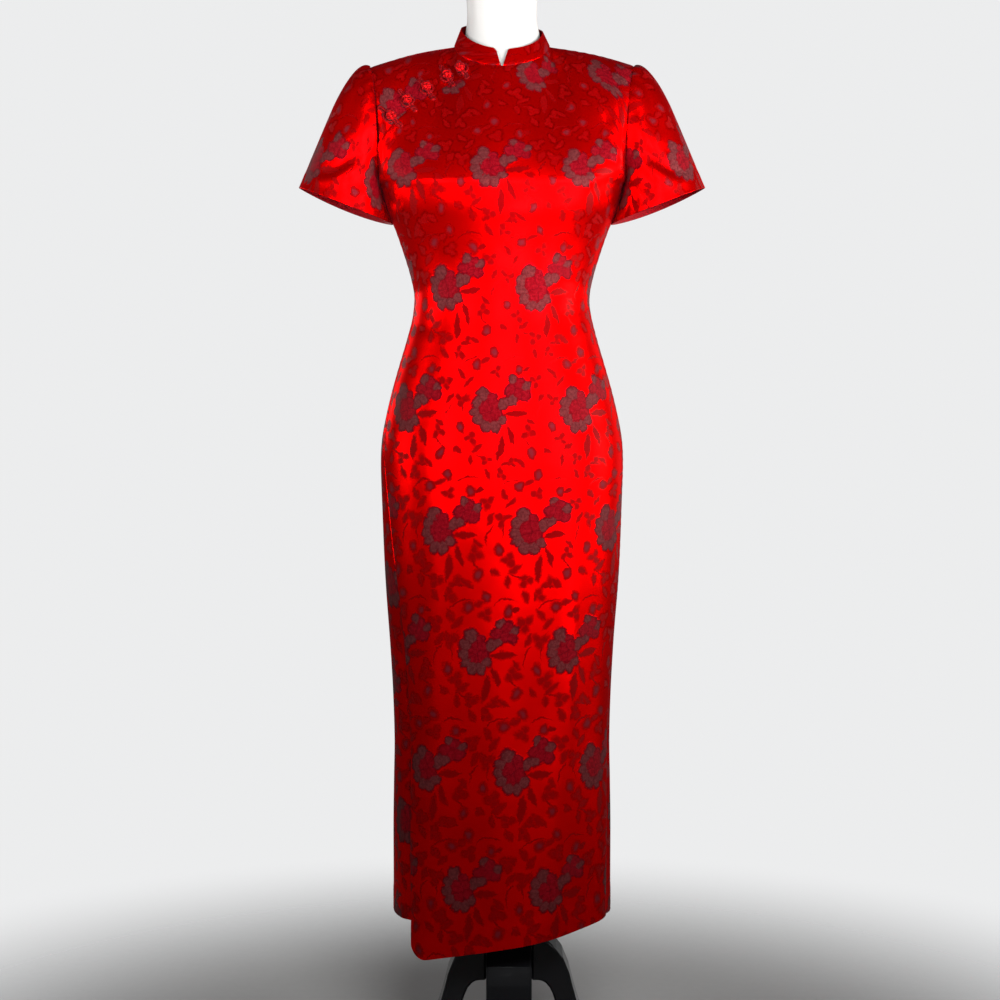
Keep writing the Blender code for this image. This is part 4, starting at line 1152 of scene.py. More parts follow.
class Value:
    """A single number in a graph's nodes: arithmetic on it adds the Math nodes it needs."""

    __add__, __radd__ = operation("ADD"), operation("ADD", turned=True)
    __sub__, __rsub__ = operation("SUBTRACT"), operation("SUBTRACT", turned=True)
    __mul__, __rmul__ = operation("MULTIPLY"), operation("MULTIPLY", turned=True)
    __truediv__, modulo = operation("DIVIDE"), operation("FLOORED_MODULO")
    least, greatest = operation("MINIMUM"), operation("MAXIMUM")
    size, floor = operation("ABSOLUTE"), operation("FLOOR")

    def __init__(self, graph: "Graph", socket: Socket) -> None:
        """Wraps an output socket of a graph's node."""
        self.graph = graph
        self.socket = socket

    def ramp(self, low: Number, high: Number, to_low: Number = 0.0, to_high: Number = 1.0) -> "Value":
        """The number carried smoothly from one range to another."""
        places = {0: self, 1: low, 2: high, 3: to_low, 4: to_high}
        return self.graph.value("ShaderNodeMapRange", places, interpolation_type="SMOOTHSTEP")


class Graph:
    """A node tree, written as expressions."""

    def __init__(self, tree: bpy.types.NodeTree, owner: Optional[bpy.types.ID] = None) -> None:
        """Starts on an empty tree, which may be a material's or a world's."""
        self.tree, self.owner = tree, owner
        tree.nodes.clear()

    @classmethod
    def of(cls, owner: Union[Material, bpy.types.World]) -> "Graph":
        """The graph of a new material or world."""
        owner.use_nodes = True
        return cls(owner.node_tree, owner)

    def node(self, kind: str, sockets: Optional[dict] = None, **settings: object) -> bpy.types.Node:
        """Adds a node.

        Args:
            kind: its type.
            sockets: values or links of its inputs, by index or name.
            settings: its own properties, which are set first.

        Returns:
            The node.
        """
        made = self.tree.nodes.new(kind)
        for key, setting in settings.items():
            setattr(made, key, setting)
        for key, value in (sockets or {}).items():
            value = value.socket if isinstance(value, Value) else value
            if isinstance(value, Socket):
                self.tree.links.new(value, made.inputs[key])
            else:
                made.inputs[key].default_value = value
        return made

    def value(self, kind: str, sockets: dict, output: Union[int, str] = 0, **settings: object) -> Value:
        """Adds a node and wraps one of its outputs."""
        return Value(self, self.node(kind, sockets, **settings).outputs[output])

    def cloth_place(self) -> Socket:
        """The cloth's own map, in metres along weft and warp."""
        return self.node("ShaderNodeUVMap", uv_map=UV_NAME).outputs["UV"]

    def object_place(self) -> Socket:
        """The object's coordinates, in metres."""
        return self.node("ShaderNodeTexCoord").outputs["Object"]

    def axes(self, vector: Socket) -> tuple[Value, Value, Value]:
        """The three parts of a vector."""
        made = self.node("ShaderNodeSeparateXYZ", {0: vector})
        return tuple(Value(self, part) for part in made.outputs)

    def vector(self, x: Term, y: Term, z: Term = 0.0) -> Socket:
        """A vector of three numbers."""
        return self.node("ShaderNodeCombineXYZ", {0: x, 1: y, 2: z}).outputs[0]

    def vector_math(self, kind: str, *terms: object, output: int = 0) -> Socket:
        """A Vector Math node."""
        return self.node("ShaderNodeVectorMath", dict(enumerate(terms)), operation=kind).outputs[output]

    def length(self, vector: Socket) -> Value:
        """The length of a vector."""
        return Value(self, self.vector_math("LENGTH", vector, output=1))

    def placed(self, vector: Socket, x: float, y: float, turn: float,
               length: float, width: float) -> Socket:
        """Coordinates around a place, turned by degrees, with the sizes counted as one."""
        return self.node("ShaderNodeMapping", {
            "Vector": vector, "Location": (x, y, 0.0), "Rotation": (0.0, 0.0, math.radians(turn)),
            "Scale": (length, width, 1.0)}, vector_type="TEXTURE").outputs[0]

    def stretched(self, vector: Socket, x: float, y: float, z: float = 1.0) -> Socket:
        """The vector with its parts multiplied."""
        return self.vector_math("MULTIPLY", vector, (x, y, z))

    def noise(self, vector: Socket, scale: float, detail: float = 2.0,
              roughness: float = 0.5, output: str = "Fac") -> Value:
        """Noise over a vector."""
        return self.value("ShaderNodeTexNoise", {
            "Vector": vector, "Scale": scale, "Detail": detail, "Roughness": roughness}, output)

    def mix(self, factor: Term, first: object, second: object) -> Socket:
        """Two colours mixed; the second one shows where the factor is 1."""
        return self.node("ShaderNodeMix", {
            0: factor, 6: as_colour(first), 7: as_colour(second)}, data_type="RGBA").outputs[2]

    def bump(self, height: Value, depth: float) -> Socket:
        """A normal bent by a height, which counts as that depth in metres at 1."""
        return self.node("ShaderNodeBump", {
            "Strength": 1.0, "Distance": depth, "Height": height}).outputs[0]

    def finish(self, shader: bpy.types.Node) -> bpy.types.ID:
        """Ends the graph in a shader, and returns what it belongs to."""
        world = isinstance(self.owner, bpy.types.World)
        self.node(f"ShaderNodeOutput{'World' if world else 'Material'}", {"Surface": shader.outputs[0]})
        return self.owner

    def surface(self, sockets: dict) -> Material:
        """Ends the graph in a Principled shader with some sockets' values or links."""
        return self.finish(self.node("ShaderNodeBsdfPrincipled", sockets))


def as_colour(value: object) -> object:
    """A colour with its alpha, or the socket as it is."""
    return (*value, 1.0) if isinstance(value, tuple) and len(value) == 3 else value


# ---- the woven pattern ----

class Shape(Enum):
    """The simple figures that the weave's flowers are made of."""

    LOBE = "a rounded petal"
    LEAF = "a leaf with two pointed ends"
    STEM = "a thin bowed stalk"


@dataclass(frozen=True)
class Figure:
    """One figure of the weave, in millimetres from the middle of its repeat."""

    shape: Shape
    x: float
    y: float
    length: float  # half length along its turn
    width: float  # half width
    turn: float = 0.0  # degrees

    def reach(self, graph: Graph, place: Socket) -> Value:
        """How far out of the figure a place lies: 1 on its outline."""
        local = graph.placed(place, self.x / 1000, self.y / 1000, self.turn,
                             self.length / 1000, self.width / 1000)
        if self.shape is Shape.LOBE:
            return graph.length(local)
        x, y, _ = graph.axes(local)
        if self.shape is Shape.STEM:
            y = y + x * x * STEM_BOW
        return graph.value("ShaderNodeMath", {0: x, 1: x, 2: y.size()}, operation="MULTIPLY_ADD")


STEM_BOW = 4.0  # bow of a stalk in half widths


def figures(shape: Shape, *rows: tuple) -> tuple[Figure, ...]:
    """Figures of one kind from rows of x, y, length, width and turn."""
    return tuple(Figure(shape, *row) for row in rows)


def rosette(x: float, y: float, ring: float, length: float, width: float,
            turns: Sequence[float]) -> tuple[Figure, ...]:
    """Petals set around a middle, each pointing away from it.

    Args:
        x: the middle's place along the weft.
        y: its place along the warp.
        ring: distance of the petals' middles from it.
        length: half length of a petal.
        width: half width of a petal.
        turns: the petals' directions in degrees.

    Returns:
        One figure for each direction.
    """
    return tuple(
        Figure(Shape.LOBE, x + ring * math.cos(math.radians(turn)), y + ring * math.sin(math.radians(turn)),
               length * (1.0 + 0.10 * math.sin(2.3 * turn)), width, turn)
        for turn in turns
    )


@dataclass(frozen=True)
class FlowerRepeat:
    """One repeat of the weave: a spray of two flowers with leaves, and florets strewn around."""

    wide: float = 128.5  # millimetres along the weft
    high: float = 171.0  # along the warp; every other row is half a repeat aside
    pale_petals: tuple = figures(
        Shape.LOBE,
        (-22, 16, 9, 10.5, 20), (-31, 4, 8, 8.5, 160), (-33, -8, 7.5, 7, 200),
        (-28, -19, 8.5, 7, 215), (-18, -28, 9, 7.5, 250), (-6, -29, 8.5, 7, 285),
        (3, -20, 8, 6.5, 310), (6, 4, 7, 10.5, -24), (16, 8, 9, 6.5, 24),
        (20, 35, 7.5, 6.5, 120), (38, 26, 7.5, 6.5, 40),
    )
    crimson_petals: tuple = figures(
        Shape.LOBE,
        (-19, -3, 9, 11, 160), (-16, -14, 8.5, 9, 230), (-5, -12, 8, 10, 290),
        (-8, 3, 8, 9, 60), (-10, 13, 5.5, 7.5, 95), (15, 22, 8.5, 7.5, 190),
        (27, 31, 7.5, 9.5, 80), (36, 16, 8, 7.5, 330), (26, 18, 8, 8, 250),
    )
    buds: tuple = figures(
        Shape.LOBE,
        (28, 51, 8.5, 6.5, 84), (-31, 58, 8.5, 8, 62), (-54, -30, 8.5, 6.8, 100),
        (47, -66, 9, 6.8, 76), (-6, 74, 8.5, 6.5, 118),
    )
    leaves: tuple = figures(
        Shape.LEAF,
        (24, -11, 18, 5.4, 6), (3, -59, 20, 5.8, 86), (17, -42, 16, 4.6, 113),
        (39, 52, 6.5, 3.4, 18),
    )
    strewn_leaves: tuple = figures(
        Shape.LEAF,
        (-53, 46, 10, 4.6, 128), (-42, 35, 10.5, 4.2, 52),
        (-30, -58, 11, 4.6, 34), (30, -79, 11, 4.4, 146), (51, 74, 10, 4.2, 116),
        (-17, 64, 9.5, 4.2, 28), (59, 12, 10, 4.2, 64), (-60, -62, 10, 4.6, 150),
        (-38, -76, 9, 4, 96), (44, -24, 9, 4, 138),
    )
    stems: tuple = figures(
        Shape.STEM,
        (-44, 66, 18, 1.3, 24), (-50, 4, 19, 1.3, 80), (40, -50, 17, 1.3, 128),
        (-24, -70, 16, 1.3, 168), (22, 70, 16, 1.3, 8), (56, -8, 16, 1.3, 70),
    )
    florets: tuple = (
        *rosette(-58, 74, 5.6, 6.2, 4.8, (90, 205, 330)),
        *rosette(-4, 48, 5.2, 6, 4.6, (60, 190, 300)),
        *rosette(-52, 10, 5.8, 6.4, 4.8, (20, 140, 262)),
        *rosette(-40, -46, 5.4, 6.2, 4.8, (75, 172, 310)),
        *rosette(41, -38, 5.6, 6.4, 4.8, (100, 226, 345)),
        *rosette(18, -82, 5.2, 6, 4.6, (80, 200, 320)),
        *rosette(53, 34, 5.6, 6.2, 4.8, (40, 160, 275)),
        *rosette(-15, -76, 5.2, 5.8, 4.6, (10, 130, 240)),
    )

    def local(self, graph: Graph, place: Socket) -> Socket:
        """Coordinates in metres from the middle of the repeat that a place lies in."""
        wide, high = self.wide / 1000, self.high / 1000
        weft, warp, _ = graph.axes(place)
        row = (warp / high + 0.5).floor()
        aside = weft + row.modulo(2.0) * (wide / 2)
        half = (wide / 2, high / 2, 1.0)
        return graph.vector_math("WRAP", graph.vector(aside, warp), half, tuple(-k for k in half))


def nearest(graph: Graph, place: Socket, shapes: Sequence[Figure]) -> Value:
    """How far out of the nearest of some figures a place lies."""
    return two_nearest(graph, place, shapes)[0]


def two_nearest(graph: Graph, place: Socket, shapes: Sequence[Figure]) -> tuple[Value, Value]:
    """How far out of the nearest and of the next nearest of some figures a place lies."""
    first, second = shapes[0].reach(graph, place), None
    for shape in shapes[1:]:
        reach = shape.reach(graph, place)
        farther = first.greatest(reach)
        second = farther if second is None else second.least(farther)
        first = first.least(reach)
    return first, second


# ---- finishes ----

@dataclass(frozen=True)
class BrocadeSatin:
    """Red satin with flowers woven in: a glossy ground and duller figures."""

    repeat: FlowerRepeat = FlowerRepeat()
    ground: Triple = (0.75, 0.0003, 0.0005)
    ground_deep: Triple = (0.63, 0.0003, 0.0005)
    figure: Triple = (0.122, 0.0003, 0.0006)
    outline: Triple = (0.040, 0.0006, 0.0026)
    petal: Triple = (0.046, 0.0080, 0.0088)
    petal_pale: Triple = (0.088, 0.0165, 0.0175)
    crimson: Triple = (0.098, 0.0005, 0.0026)
    crimson_pale: Triple = (0.160, 0.0024, 0.0062)
    bud: Triple = (0.095, 0.0080, 0.0130)
    sway: float = 0.0064  # how far the figures' outlines swing, in metres
    fray: float = 0.0034  # how far they fray

    def wandering(self, graph: Graph, place: Socket) -> Socket:
        """The place, carried aside a little so that no two flowers are alike."""
        for scale, reach in ((26.0, self.sway), (150.0, self.fray), (520.0, 0.5 * self.fray)):
            drift = graph.noise(place, scale, 2.0, 0.6, "Color").socket
            shift = graph.vector_math("SUBTRACT", drift, (0.5, 0.5, 0.5))
            place = graph.vector_math("ADD", place, graph.stretched(shift, 2 * reach, 2 * reach, 0.0))
        return place

    def material(self) -> Material:
        """The right side of the cloth."""
        graph = Graph.of(bpy.data.materials.new("red_brocade_satin"))
        place = graph.cloth_place()
        repeat = self.repeat
        local = repeat.local(graph, self.wandering(graph, place))
        pale, pale_next = two_nearest(graph, local, repeat.pale_petals)
        crimson, crimson_next = two_nearest(graph, local, repeat.crimson_petals)
        buds = nearest(graph, local, repeat.buds)
        leaves = buds.least(nearest(graph, local, repeat.leaves))
        small = nearest(graph, local, repeat.strewn_leaves + repeat.florets + repeat.stems)
        thread = graph.noise(graph.stretched(place, 1 / 0.0011, 1 / 0.0045), 1.0, 1.0)
        mottle = graph.noise(place, 230.0, 3.0, 0.65)
        cloudy = graph.noise(place, 9.0)

        spray = pale.least(crimson)
        spray_on = spray.ramp(1.12, 0.98)
        edge_on = spray.ramp(1.42, 1.12) * (mottle * 1.6 + 0.2).least(1.0)
        leaf_on = leaves.ramp(1.40, 0.75)
        small_on = small.ramp(1.80, 0.50) * (0.85 + 0.35 * mottle).least(1.0)

        colour = graph.mix(cloudy.ramp(0.3, 0.7), self.ground, self.ground_deep)
        colour = graph.mix((leaf_on * 0.98).greatest(small_on * 0.94), colour, self.figure)
        colour = graph.mix(buds.ramp(0.75, 0.25) * 0.8, colour, self.bud)
        colour = graph.mix(edge_on * 0.94, colour, self.outline)
        grain = (mottle + thread * 0.25).ramp(0.45, 0.80)
        grey = graph.mix(grain, self.petal, self.petal_pale)
        red = graph.mix(grain, self.crimson, self.crimson_pale)
        patches = graph.noise(place, 95.0, 2.0, 0.6)
        pale_on = (crimson - pale - 0.14 + (mottle - 0.5) * 0.9 + (patches - 0.5) * 1.6).ramp(-0.16, 0.22)
        fill = graph.mix(pale_on, red, grey)
        vein = graph.noise(graph.stretched(place, 260.0, 700.0), 1.0, 2.0, 0.6)
        next_petal = pale.greatest(crimson).least(pale_next).least(crimson_next)
        parting = (next_petal - spray).ramp(0.16, 0.03)
        lines = (parting * 0.65).greatest(vein.ramp(0.56, 0.70) * 0.5)
        fill = graph.mix((spray.ramp(0.82, 1.04) * 0.85).greatest(lines), fill, self.outline)
        colour = graph.mix(spray_on, colour, fill)

        woven = (leaves.ramp(1.12, 0.80) * 0.90).greatest(small.ramp(1.12, 0.55) * 0.88)
        woven = woven.greatest(spray.ramp(1.30, 1.10))
        metal = 0.92 - 0.80 * woven
        rough = 0.32 + 0.20 * woven + (thread - 0.5) * 0.05 + (cloudy - 0.5) * 0.06
        slack = graph.noise(graph.stretched(place, 15.0, 11.0), 1.0)
        height = edge_on * 0.10 + slack * 1.0 + thread * 0.05
        return graph.surface({
            "Specular IOR Level": 0.22, "Specular Tint": (1.0, 0.02, 0.03, 1.0),
            "Sheen Weight": 0.02, "Sheen Roughness": 0.35, "Sheen Tint": (1.0, 0.10, 0.20, 1.0),
            "Base Color": colour, "Metallic": metal, "Roughness": rough,
            "Normal": graph.bump(height, 0.0011)})


@dataclass(frozen=True)
class SatinReverse:
    """The wrong side of the cloth: no shine, with the floats of the weave showing faintly, and both its reds
    darkened far below the dye as painted shade for the cloth's insides.
    """

    # painted shade: these reds are much darker than the dyed cloth so that the insides of the sleeves, skirt
    # and collar read as shaded
    colour: Triple = (0.13, 0.0010, 0.0024)
    floats: Triple = (0.09, 0.0030, 0.0050)

    def material(self) -> Material:
        """The wrong side of the cloth."""
        graph = Graph.of(bpy.data.materials.new("red_satin_reverse_painted_shade"))
        place = graph.cloth_place()
        floats = graph.noise(graph.stretched(place, 1 / 0.004, 1 / 0.018), 1.0)
        thread = graph.noise(graph.stretched(place, 1 / 0.0005, 1 / 0.002), 1.0, 1.0)
        colour = graph.mix(floats.ramp(0.45, 0.75), self.colour, self.floats)
        return graph.surface({
            "Specular IOR Level": 0.3, "Specular Tint": (0.9, 0.08, 0.10, 1.0),
            "Base Color": colour, "Roughness": 0.52 + thread * 0.12,
            "Normal": graph.bump(thread, 0.00012)})


@dataclass(frozen=True)
class SatinCord:
    """Bias strips of the same satin rolled into a cord, with painted shade in the low places of its pleats.
    """

    colour: Triple = (0.40, 0.0008, 0.0016)
    # painted shade: the darker red laid into the low places of the pleats
    crease: Triple = (0.12, 0.0004, 0.0008)
    metallic: float = 0.55
    rough: float = 0.34
    name: str = "red_satin_cord"

    def material(self) -> Material:
        """The cord's finish."""
        graph = Graph.of(bpy.data.materials.new(self.name))
        place = graph.object_place()
        pleats = graph.noise(graph.stretched(place, 420.0, 420.0, 420.0), 1.0)
        soil = graph.noise(place, 60.0)
        # the pleats' low places take the darker red as painted shade, where the bump also sinks them
        colour = graph.mix(pleats.ramp(0.35, 0.62), self.crease, self.colour)
        return graph.surface({
            "Specular IOR Level": 0.45, "Specular Tint": (1.0, 0.12, 0.14, 1.0),
            "Sheen Weight": 0.08, "Sheen Tint": (1.0, 0.2, 0.3, 1.0),
            "Base Color": colour, "Metallic": self.metallic + soil * 0.1,
            "Roughness": self.rough + pleats * 0.12, "Normal": graph.bump(pleats, 0.0003)})


@dataclass(frozen=True)
class SewingThread:
    """Silk thread of the dress's own red."""

    colour: Triple = (0.34, 0.0010, 0.0030)

    def material(self) -> Material:
        """The thread's finish."""
        graph = Graph.of(bpy.data.materials.new("red_silk_thread"))
        ply = graph.noise(graph.object_place(), 2600.0, 1.0)
        colour = graph.mix(ply, self.colour, tuple(0.6 * part for part in self.colour))
        return graph.surface({"Sheen Weight": 0.2, "Sheen Tint": (1.0, 0.3, 0.35, 1.0),
                              "Base Color": colour, "Roughness": 0.45 + ply * 0.15})


@dataclass(frozen=True)
class MouldedShell:
    """Smooth off-white shell of the dress form, faintly marked by handling."""

    colour: Triple = (0.34, 0.335, 0.325)
    handled: Triple = (0.30, 0.294, 0.283)

    def material(self) -> Material:
        """The shell's finish."""
        graph = Graph.of(bpy.data.materials.new("moulded_form_shell"))
        place = graph.object_place()
        marks = graph.noise(place, 7.0, 4.0, 0.6)
        skin = graph.noise(place, 900.0)
        colour = graph.mix(marks.ramp(0.5, 0.8) * 0.5, self.colour, self.handled)
        return graph.surface({
            "Specular IOR Level": 0.42, "Base Color": colour, "Roughness": 0.36 + marks * 0.16,
            "Normal": graph.bump(skin, 0.00006)})


@dataclass(frozen=True)
class GlossyBlack:
    """Glossy black moulded plastic with dust in the hollows and fine rubbed scratches."""

    colour: Triple = (0.0045, 0.0047, 0.0056)
    dust: Triple = (0.016, 0.0155, 0.015)

    def material(self) -> Material:
        """The base's finish."""
        graph = Graph.of(bpy.data.materials.new("glossy_black_base"))
        place = graph.object_place()
        cloud = graph.noise(place, 22.0, 4.0, 0.65)
        scratch = graph.noise(graph.stretched(place, 40.0, 900.0, 60.0), 1.0)
        rubbed = graph.noise(place, 5.0)
        _, _, height = graph.axes(place)
        low = height.ramp(0.05, 0.0)
        colour = graph.mix((cloud * 0.30 + low * 0.35).ramp(0.12, 0.7), self.colour, self.dust)
        rough = 0.10 + scratch.ramp(0.62, 0.78) * 0.16 + rubbed * 0.07 + low * 0.12
        return graph.surface({
            "Specular IOR Level": 0.14, "Coat Roughness": 0.06, "Coat Weight": 0.2 - low * 0.1,
            "Base Color": colour, "Roughness": rough, "Normal": graph.bump(cloud, 0.0004)})


@dataclass(frozen=True)
class BrushedSteel:
    """The pole's steel, brushed round and a little dulled by hands."""

    colour: Triple = (0.56, 0.56, 0.57)
    dull: Triple = (0.38, 0.375, 0.37)

    def material(self) -> Material:
        """The pole's finish."""
        graph = Graph.of(bpy.data.materials.new("brushed_steel_pole"))
        place = graph.object_place()
        brushed = graph.noise(graph.stretched(place, 12.0, 12.0, 2600.0), 1.0)
        handled = graph.noise(place, 14.0, 3.0)
        colour = graph.mix(handled.ramp(0.4, 0.75), self.colour, self.dull)
        return graph.surface({
            "Anisotropic": 0.5, "Base Color": colour, "Metallic": 0.95 - handled * 0.1,
            "Roughness": 0.24 + brushed * 0.14 + handled * 0.08,
            "Normal": graph.bump(brushed, 0.00005)})


# ---- sewing ----

@dataclass(frozen=True)
class StitchRow:
    """A row of small stitches along a line on the cloth, strewn by a node tree."""

    pitch: float  # from stitch to stitch
    length: float
    thickness: float
    unevenness: float = 0.25  # how far their lengths and turns differ
    seed: int = 7

    def build(self, name: str, line: Array, finish: Material) -> Object:
        """Sews the row.

        Args:
            name: the piece's name.
            line: points along the line, just above the cloth.
            finish: the thread's material.

        Returns:
            The stitches as one plain mesh.
        """
        guide = bpy.data.meshes.new(name + "_line")
        steps = [(k, k + 1) for k in range(len(line) - 1)]
        guide.from_pydata(line.tolist(), steps, [])
        made = link(bpy.data.objects.new(name, guide))
        tree = self.tree(finish)
        sewing = made.modifiers.new("stitches", "NODES")
        sewing.node_group = tree
        sizes = {"Pitch": self.pitch, "Length": self.length, "Thickness": self.thickness,
                 "Unevenness": self.unevenness, "Seed": self.seed}
        for item in tree.interface.items_tree:
            if item.item_type == "SOCKET" and item.name in sizes:
                sewing[item.identifier] = sizes[item.name]
        make_plain(made, sewing)
        bpy.data.node_groups.remove(tree)
        return settle(made, "red_satin_cord")

    def tree(self, finish: Material) -> bpy.types.NodeTree:
        """The node tree that strews stitches along a line."""
        graph = Graph(bpy.data.node_groups.new("stitches", "GeometryNodeTree"))
        sockets = graph.tree.interface
        for name, kind in (("Line", "Geometry"), ("Pitch", "Float"), ("Length", "Float"),
                           ("Thickness", "Float"), ("Unevenness", "Float"), ("Seed", "Int")):
            sockets.new_socket(name, in_out="INPUT", socket_type=f"NodeSocket{kind}")
        sockets.new_socket("Stitches", in_out="OUTPUT", socket_type="NodeSocketGeometry")
        given = graph.node("NodeGroupInput").outputs
        uneven = Value(graph, given["Unevenness"])
        curve = graph.node("GeometryNodeMeshToCurve", {"Mesh": given["Line"]}).outputs[0]
        places = graph.node("GeometryNodeCurveToPoints", {
            "Curve": curve, "Length": given["Pitch"]}, mode="LENGTH").outputs
        ball = graph.node("GeometryNodeMeshUVSphere", {
            "Segments": 8, "Rings": 6, "Radius": 0.5}).outputs[0]

        def chance(low: Term, high: Term) -> Value:
            """A number between two others, drawn for each stitch."""
            return graph.value("FunctionNodeRandomValue", {
                2: low, 3: high, "Seed": given["Seed"]}, 1, data_type="FLOAT")

        length = chance(1.0 - uneven, 1.0) * Value(graph, given["Length"])
        size = graph.vector(length, given["Thickness"], given["Thickness"])
        along = graph.node("FunctionNodeAlignRotationToVector", {
            "Vector": places["Tangent"]}, axis="X").outputs[0]
        skew = graph.vector(0.0, 0.0, chance(-0.5, 0.5) * uneven)
        turned = graph.node("FunctionNodeRotateRotation", {
            0: along, 1: skew}, rotation_space="LOCAL").outputs[0]
        strewn = graph.node("GeometryNodeInstanceOnPoints", {
            "Points": places["Points"], "Instance": ball, "Rotation": turned, "Scale": size}).outputs[0]
        real = graph.node("GeometryNodeRealizeInstances", {0: strewn}).outputs[0]
        dyed = graph.node("GeometryNodeSetMaterial", {"Geometry": real, "Material": finish}).outputs[0]
        graph.node("NodeGroupOutput", {0: dyed})
        return graph.tree


# ---- knot buttons ----

@dataclass
class CordMesh:
    """Round cords gathered in one mesh, each with its own map along and around it."""

    sides: int = 12
    places: list = field(default_factory=list)
    faces: list = field(default_factory=list)
    grain: list = field(default_factory=list)

    def add(self, path: Array, outward: Array, radius: float) -> None:
        """Adds a cord that closes on itself.

        Args:
            path: points along its middle.
            outward: a direction across the cord at each point.
            radius: its radius.
        """
        count = len(path)
        way = unit(np.roll(path, -1, axis=0) - np.roll(path, 1, axis=0))
        aside = unit(np.cross(way, outward))
        rise = np.cross(aside, way)
        turn = np.arange(self.sides) * 2 * np.pi / self.sides
        around = np.cos(turn)[:, None] * aside[:, None] + np.sin(turn)[:, None] * rise[:, None]
        rings = path[:, None] + radius * around
        first = len(self.places)
        self.places += rings.reshape(-1, 3).tolist()
        walked = along_row(np.concatenate([path, path[:1]]))
        width = 2 * np.pi * radius / self.sides
        for i in range(count):
            for k in range(self.sides):
                corners = ((i, k), (i, k + 1), (i + 1, k + 1), (i + 1, k))
                self.faces.append([first + (a % count) * self.sides + b % self.sides for a, b in corners])
                self.grain += [(walked[a], b * width) for a, b in corners]

    def to_object(self, name: str, finish: Material, heart: Optional[tuple] = None) -> Object:
        """Makes the cords a mesh object.

        Args:
            name: its name.
            finish: its material.
            heart: place and radius of a ball of cord inside, where there is one.

        Returns:
            The object, linked into the scene.
        """
        mesh = bpy.data.meshes.new(name)
        mesh.from_pydata(self.places, [], self.faces)
        mesh.uv_layers.new(name=UV_NAME).data.foreach_set("uv", np.array(self.grain, np.float32).ravel())
        if heart:
            bm = bmesh.new()
            bm.from_mesh(mesh)
            filled = bmesh.ops.create_icosphere(bm, subdivisions=3, radius=heart[1])["verts"]
            bmesh.ops.translate(bm, verts=filled, vec=heart[0])
            bm.to_mesh(mesh)
            bm.free()
        mesh.materials.append(finish)
        mesh.shade_smooth()
        mesh.update()
        return link(bpy.data.objects.new(name, mesh))


BEND = np.linspace(0.0, math.pi, 9)[1:-1]  # turns of the points round a cord's end


@dataclass
class Seat:
    """A place on the cloth, with the directions out of it, up across the edge and along it."""

    place: Array
    out: Array
    upward: Array
    along: Array
    cloth: BVHTree

    def lay(self, path: Array) -> Array:
        """Lays points on the cloth: steps upward and along, and height above the cloth."""
        laid = []
        for up, aside, height in path:
            base = Vector(self.place + self.upward * up + self.along * aside)
            hit = self.cloth.ray_cast(base + Vector(self.out) * 0.02, -Vector(self.out), 0.04)[0]
            laid.append(np.array(hit or base) + self.out * height)
        return np.array(laid)


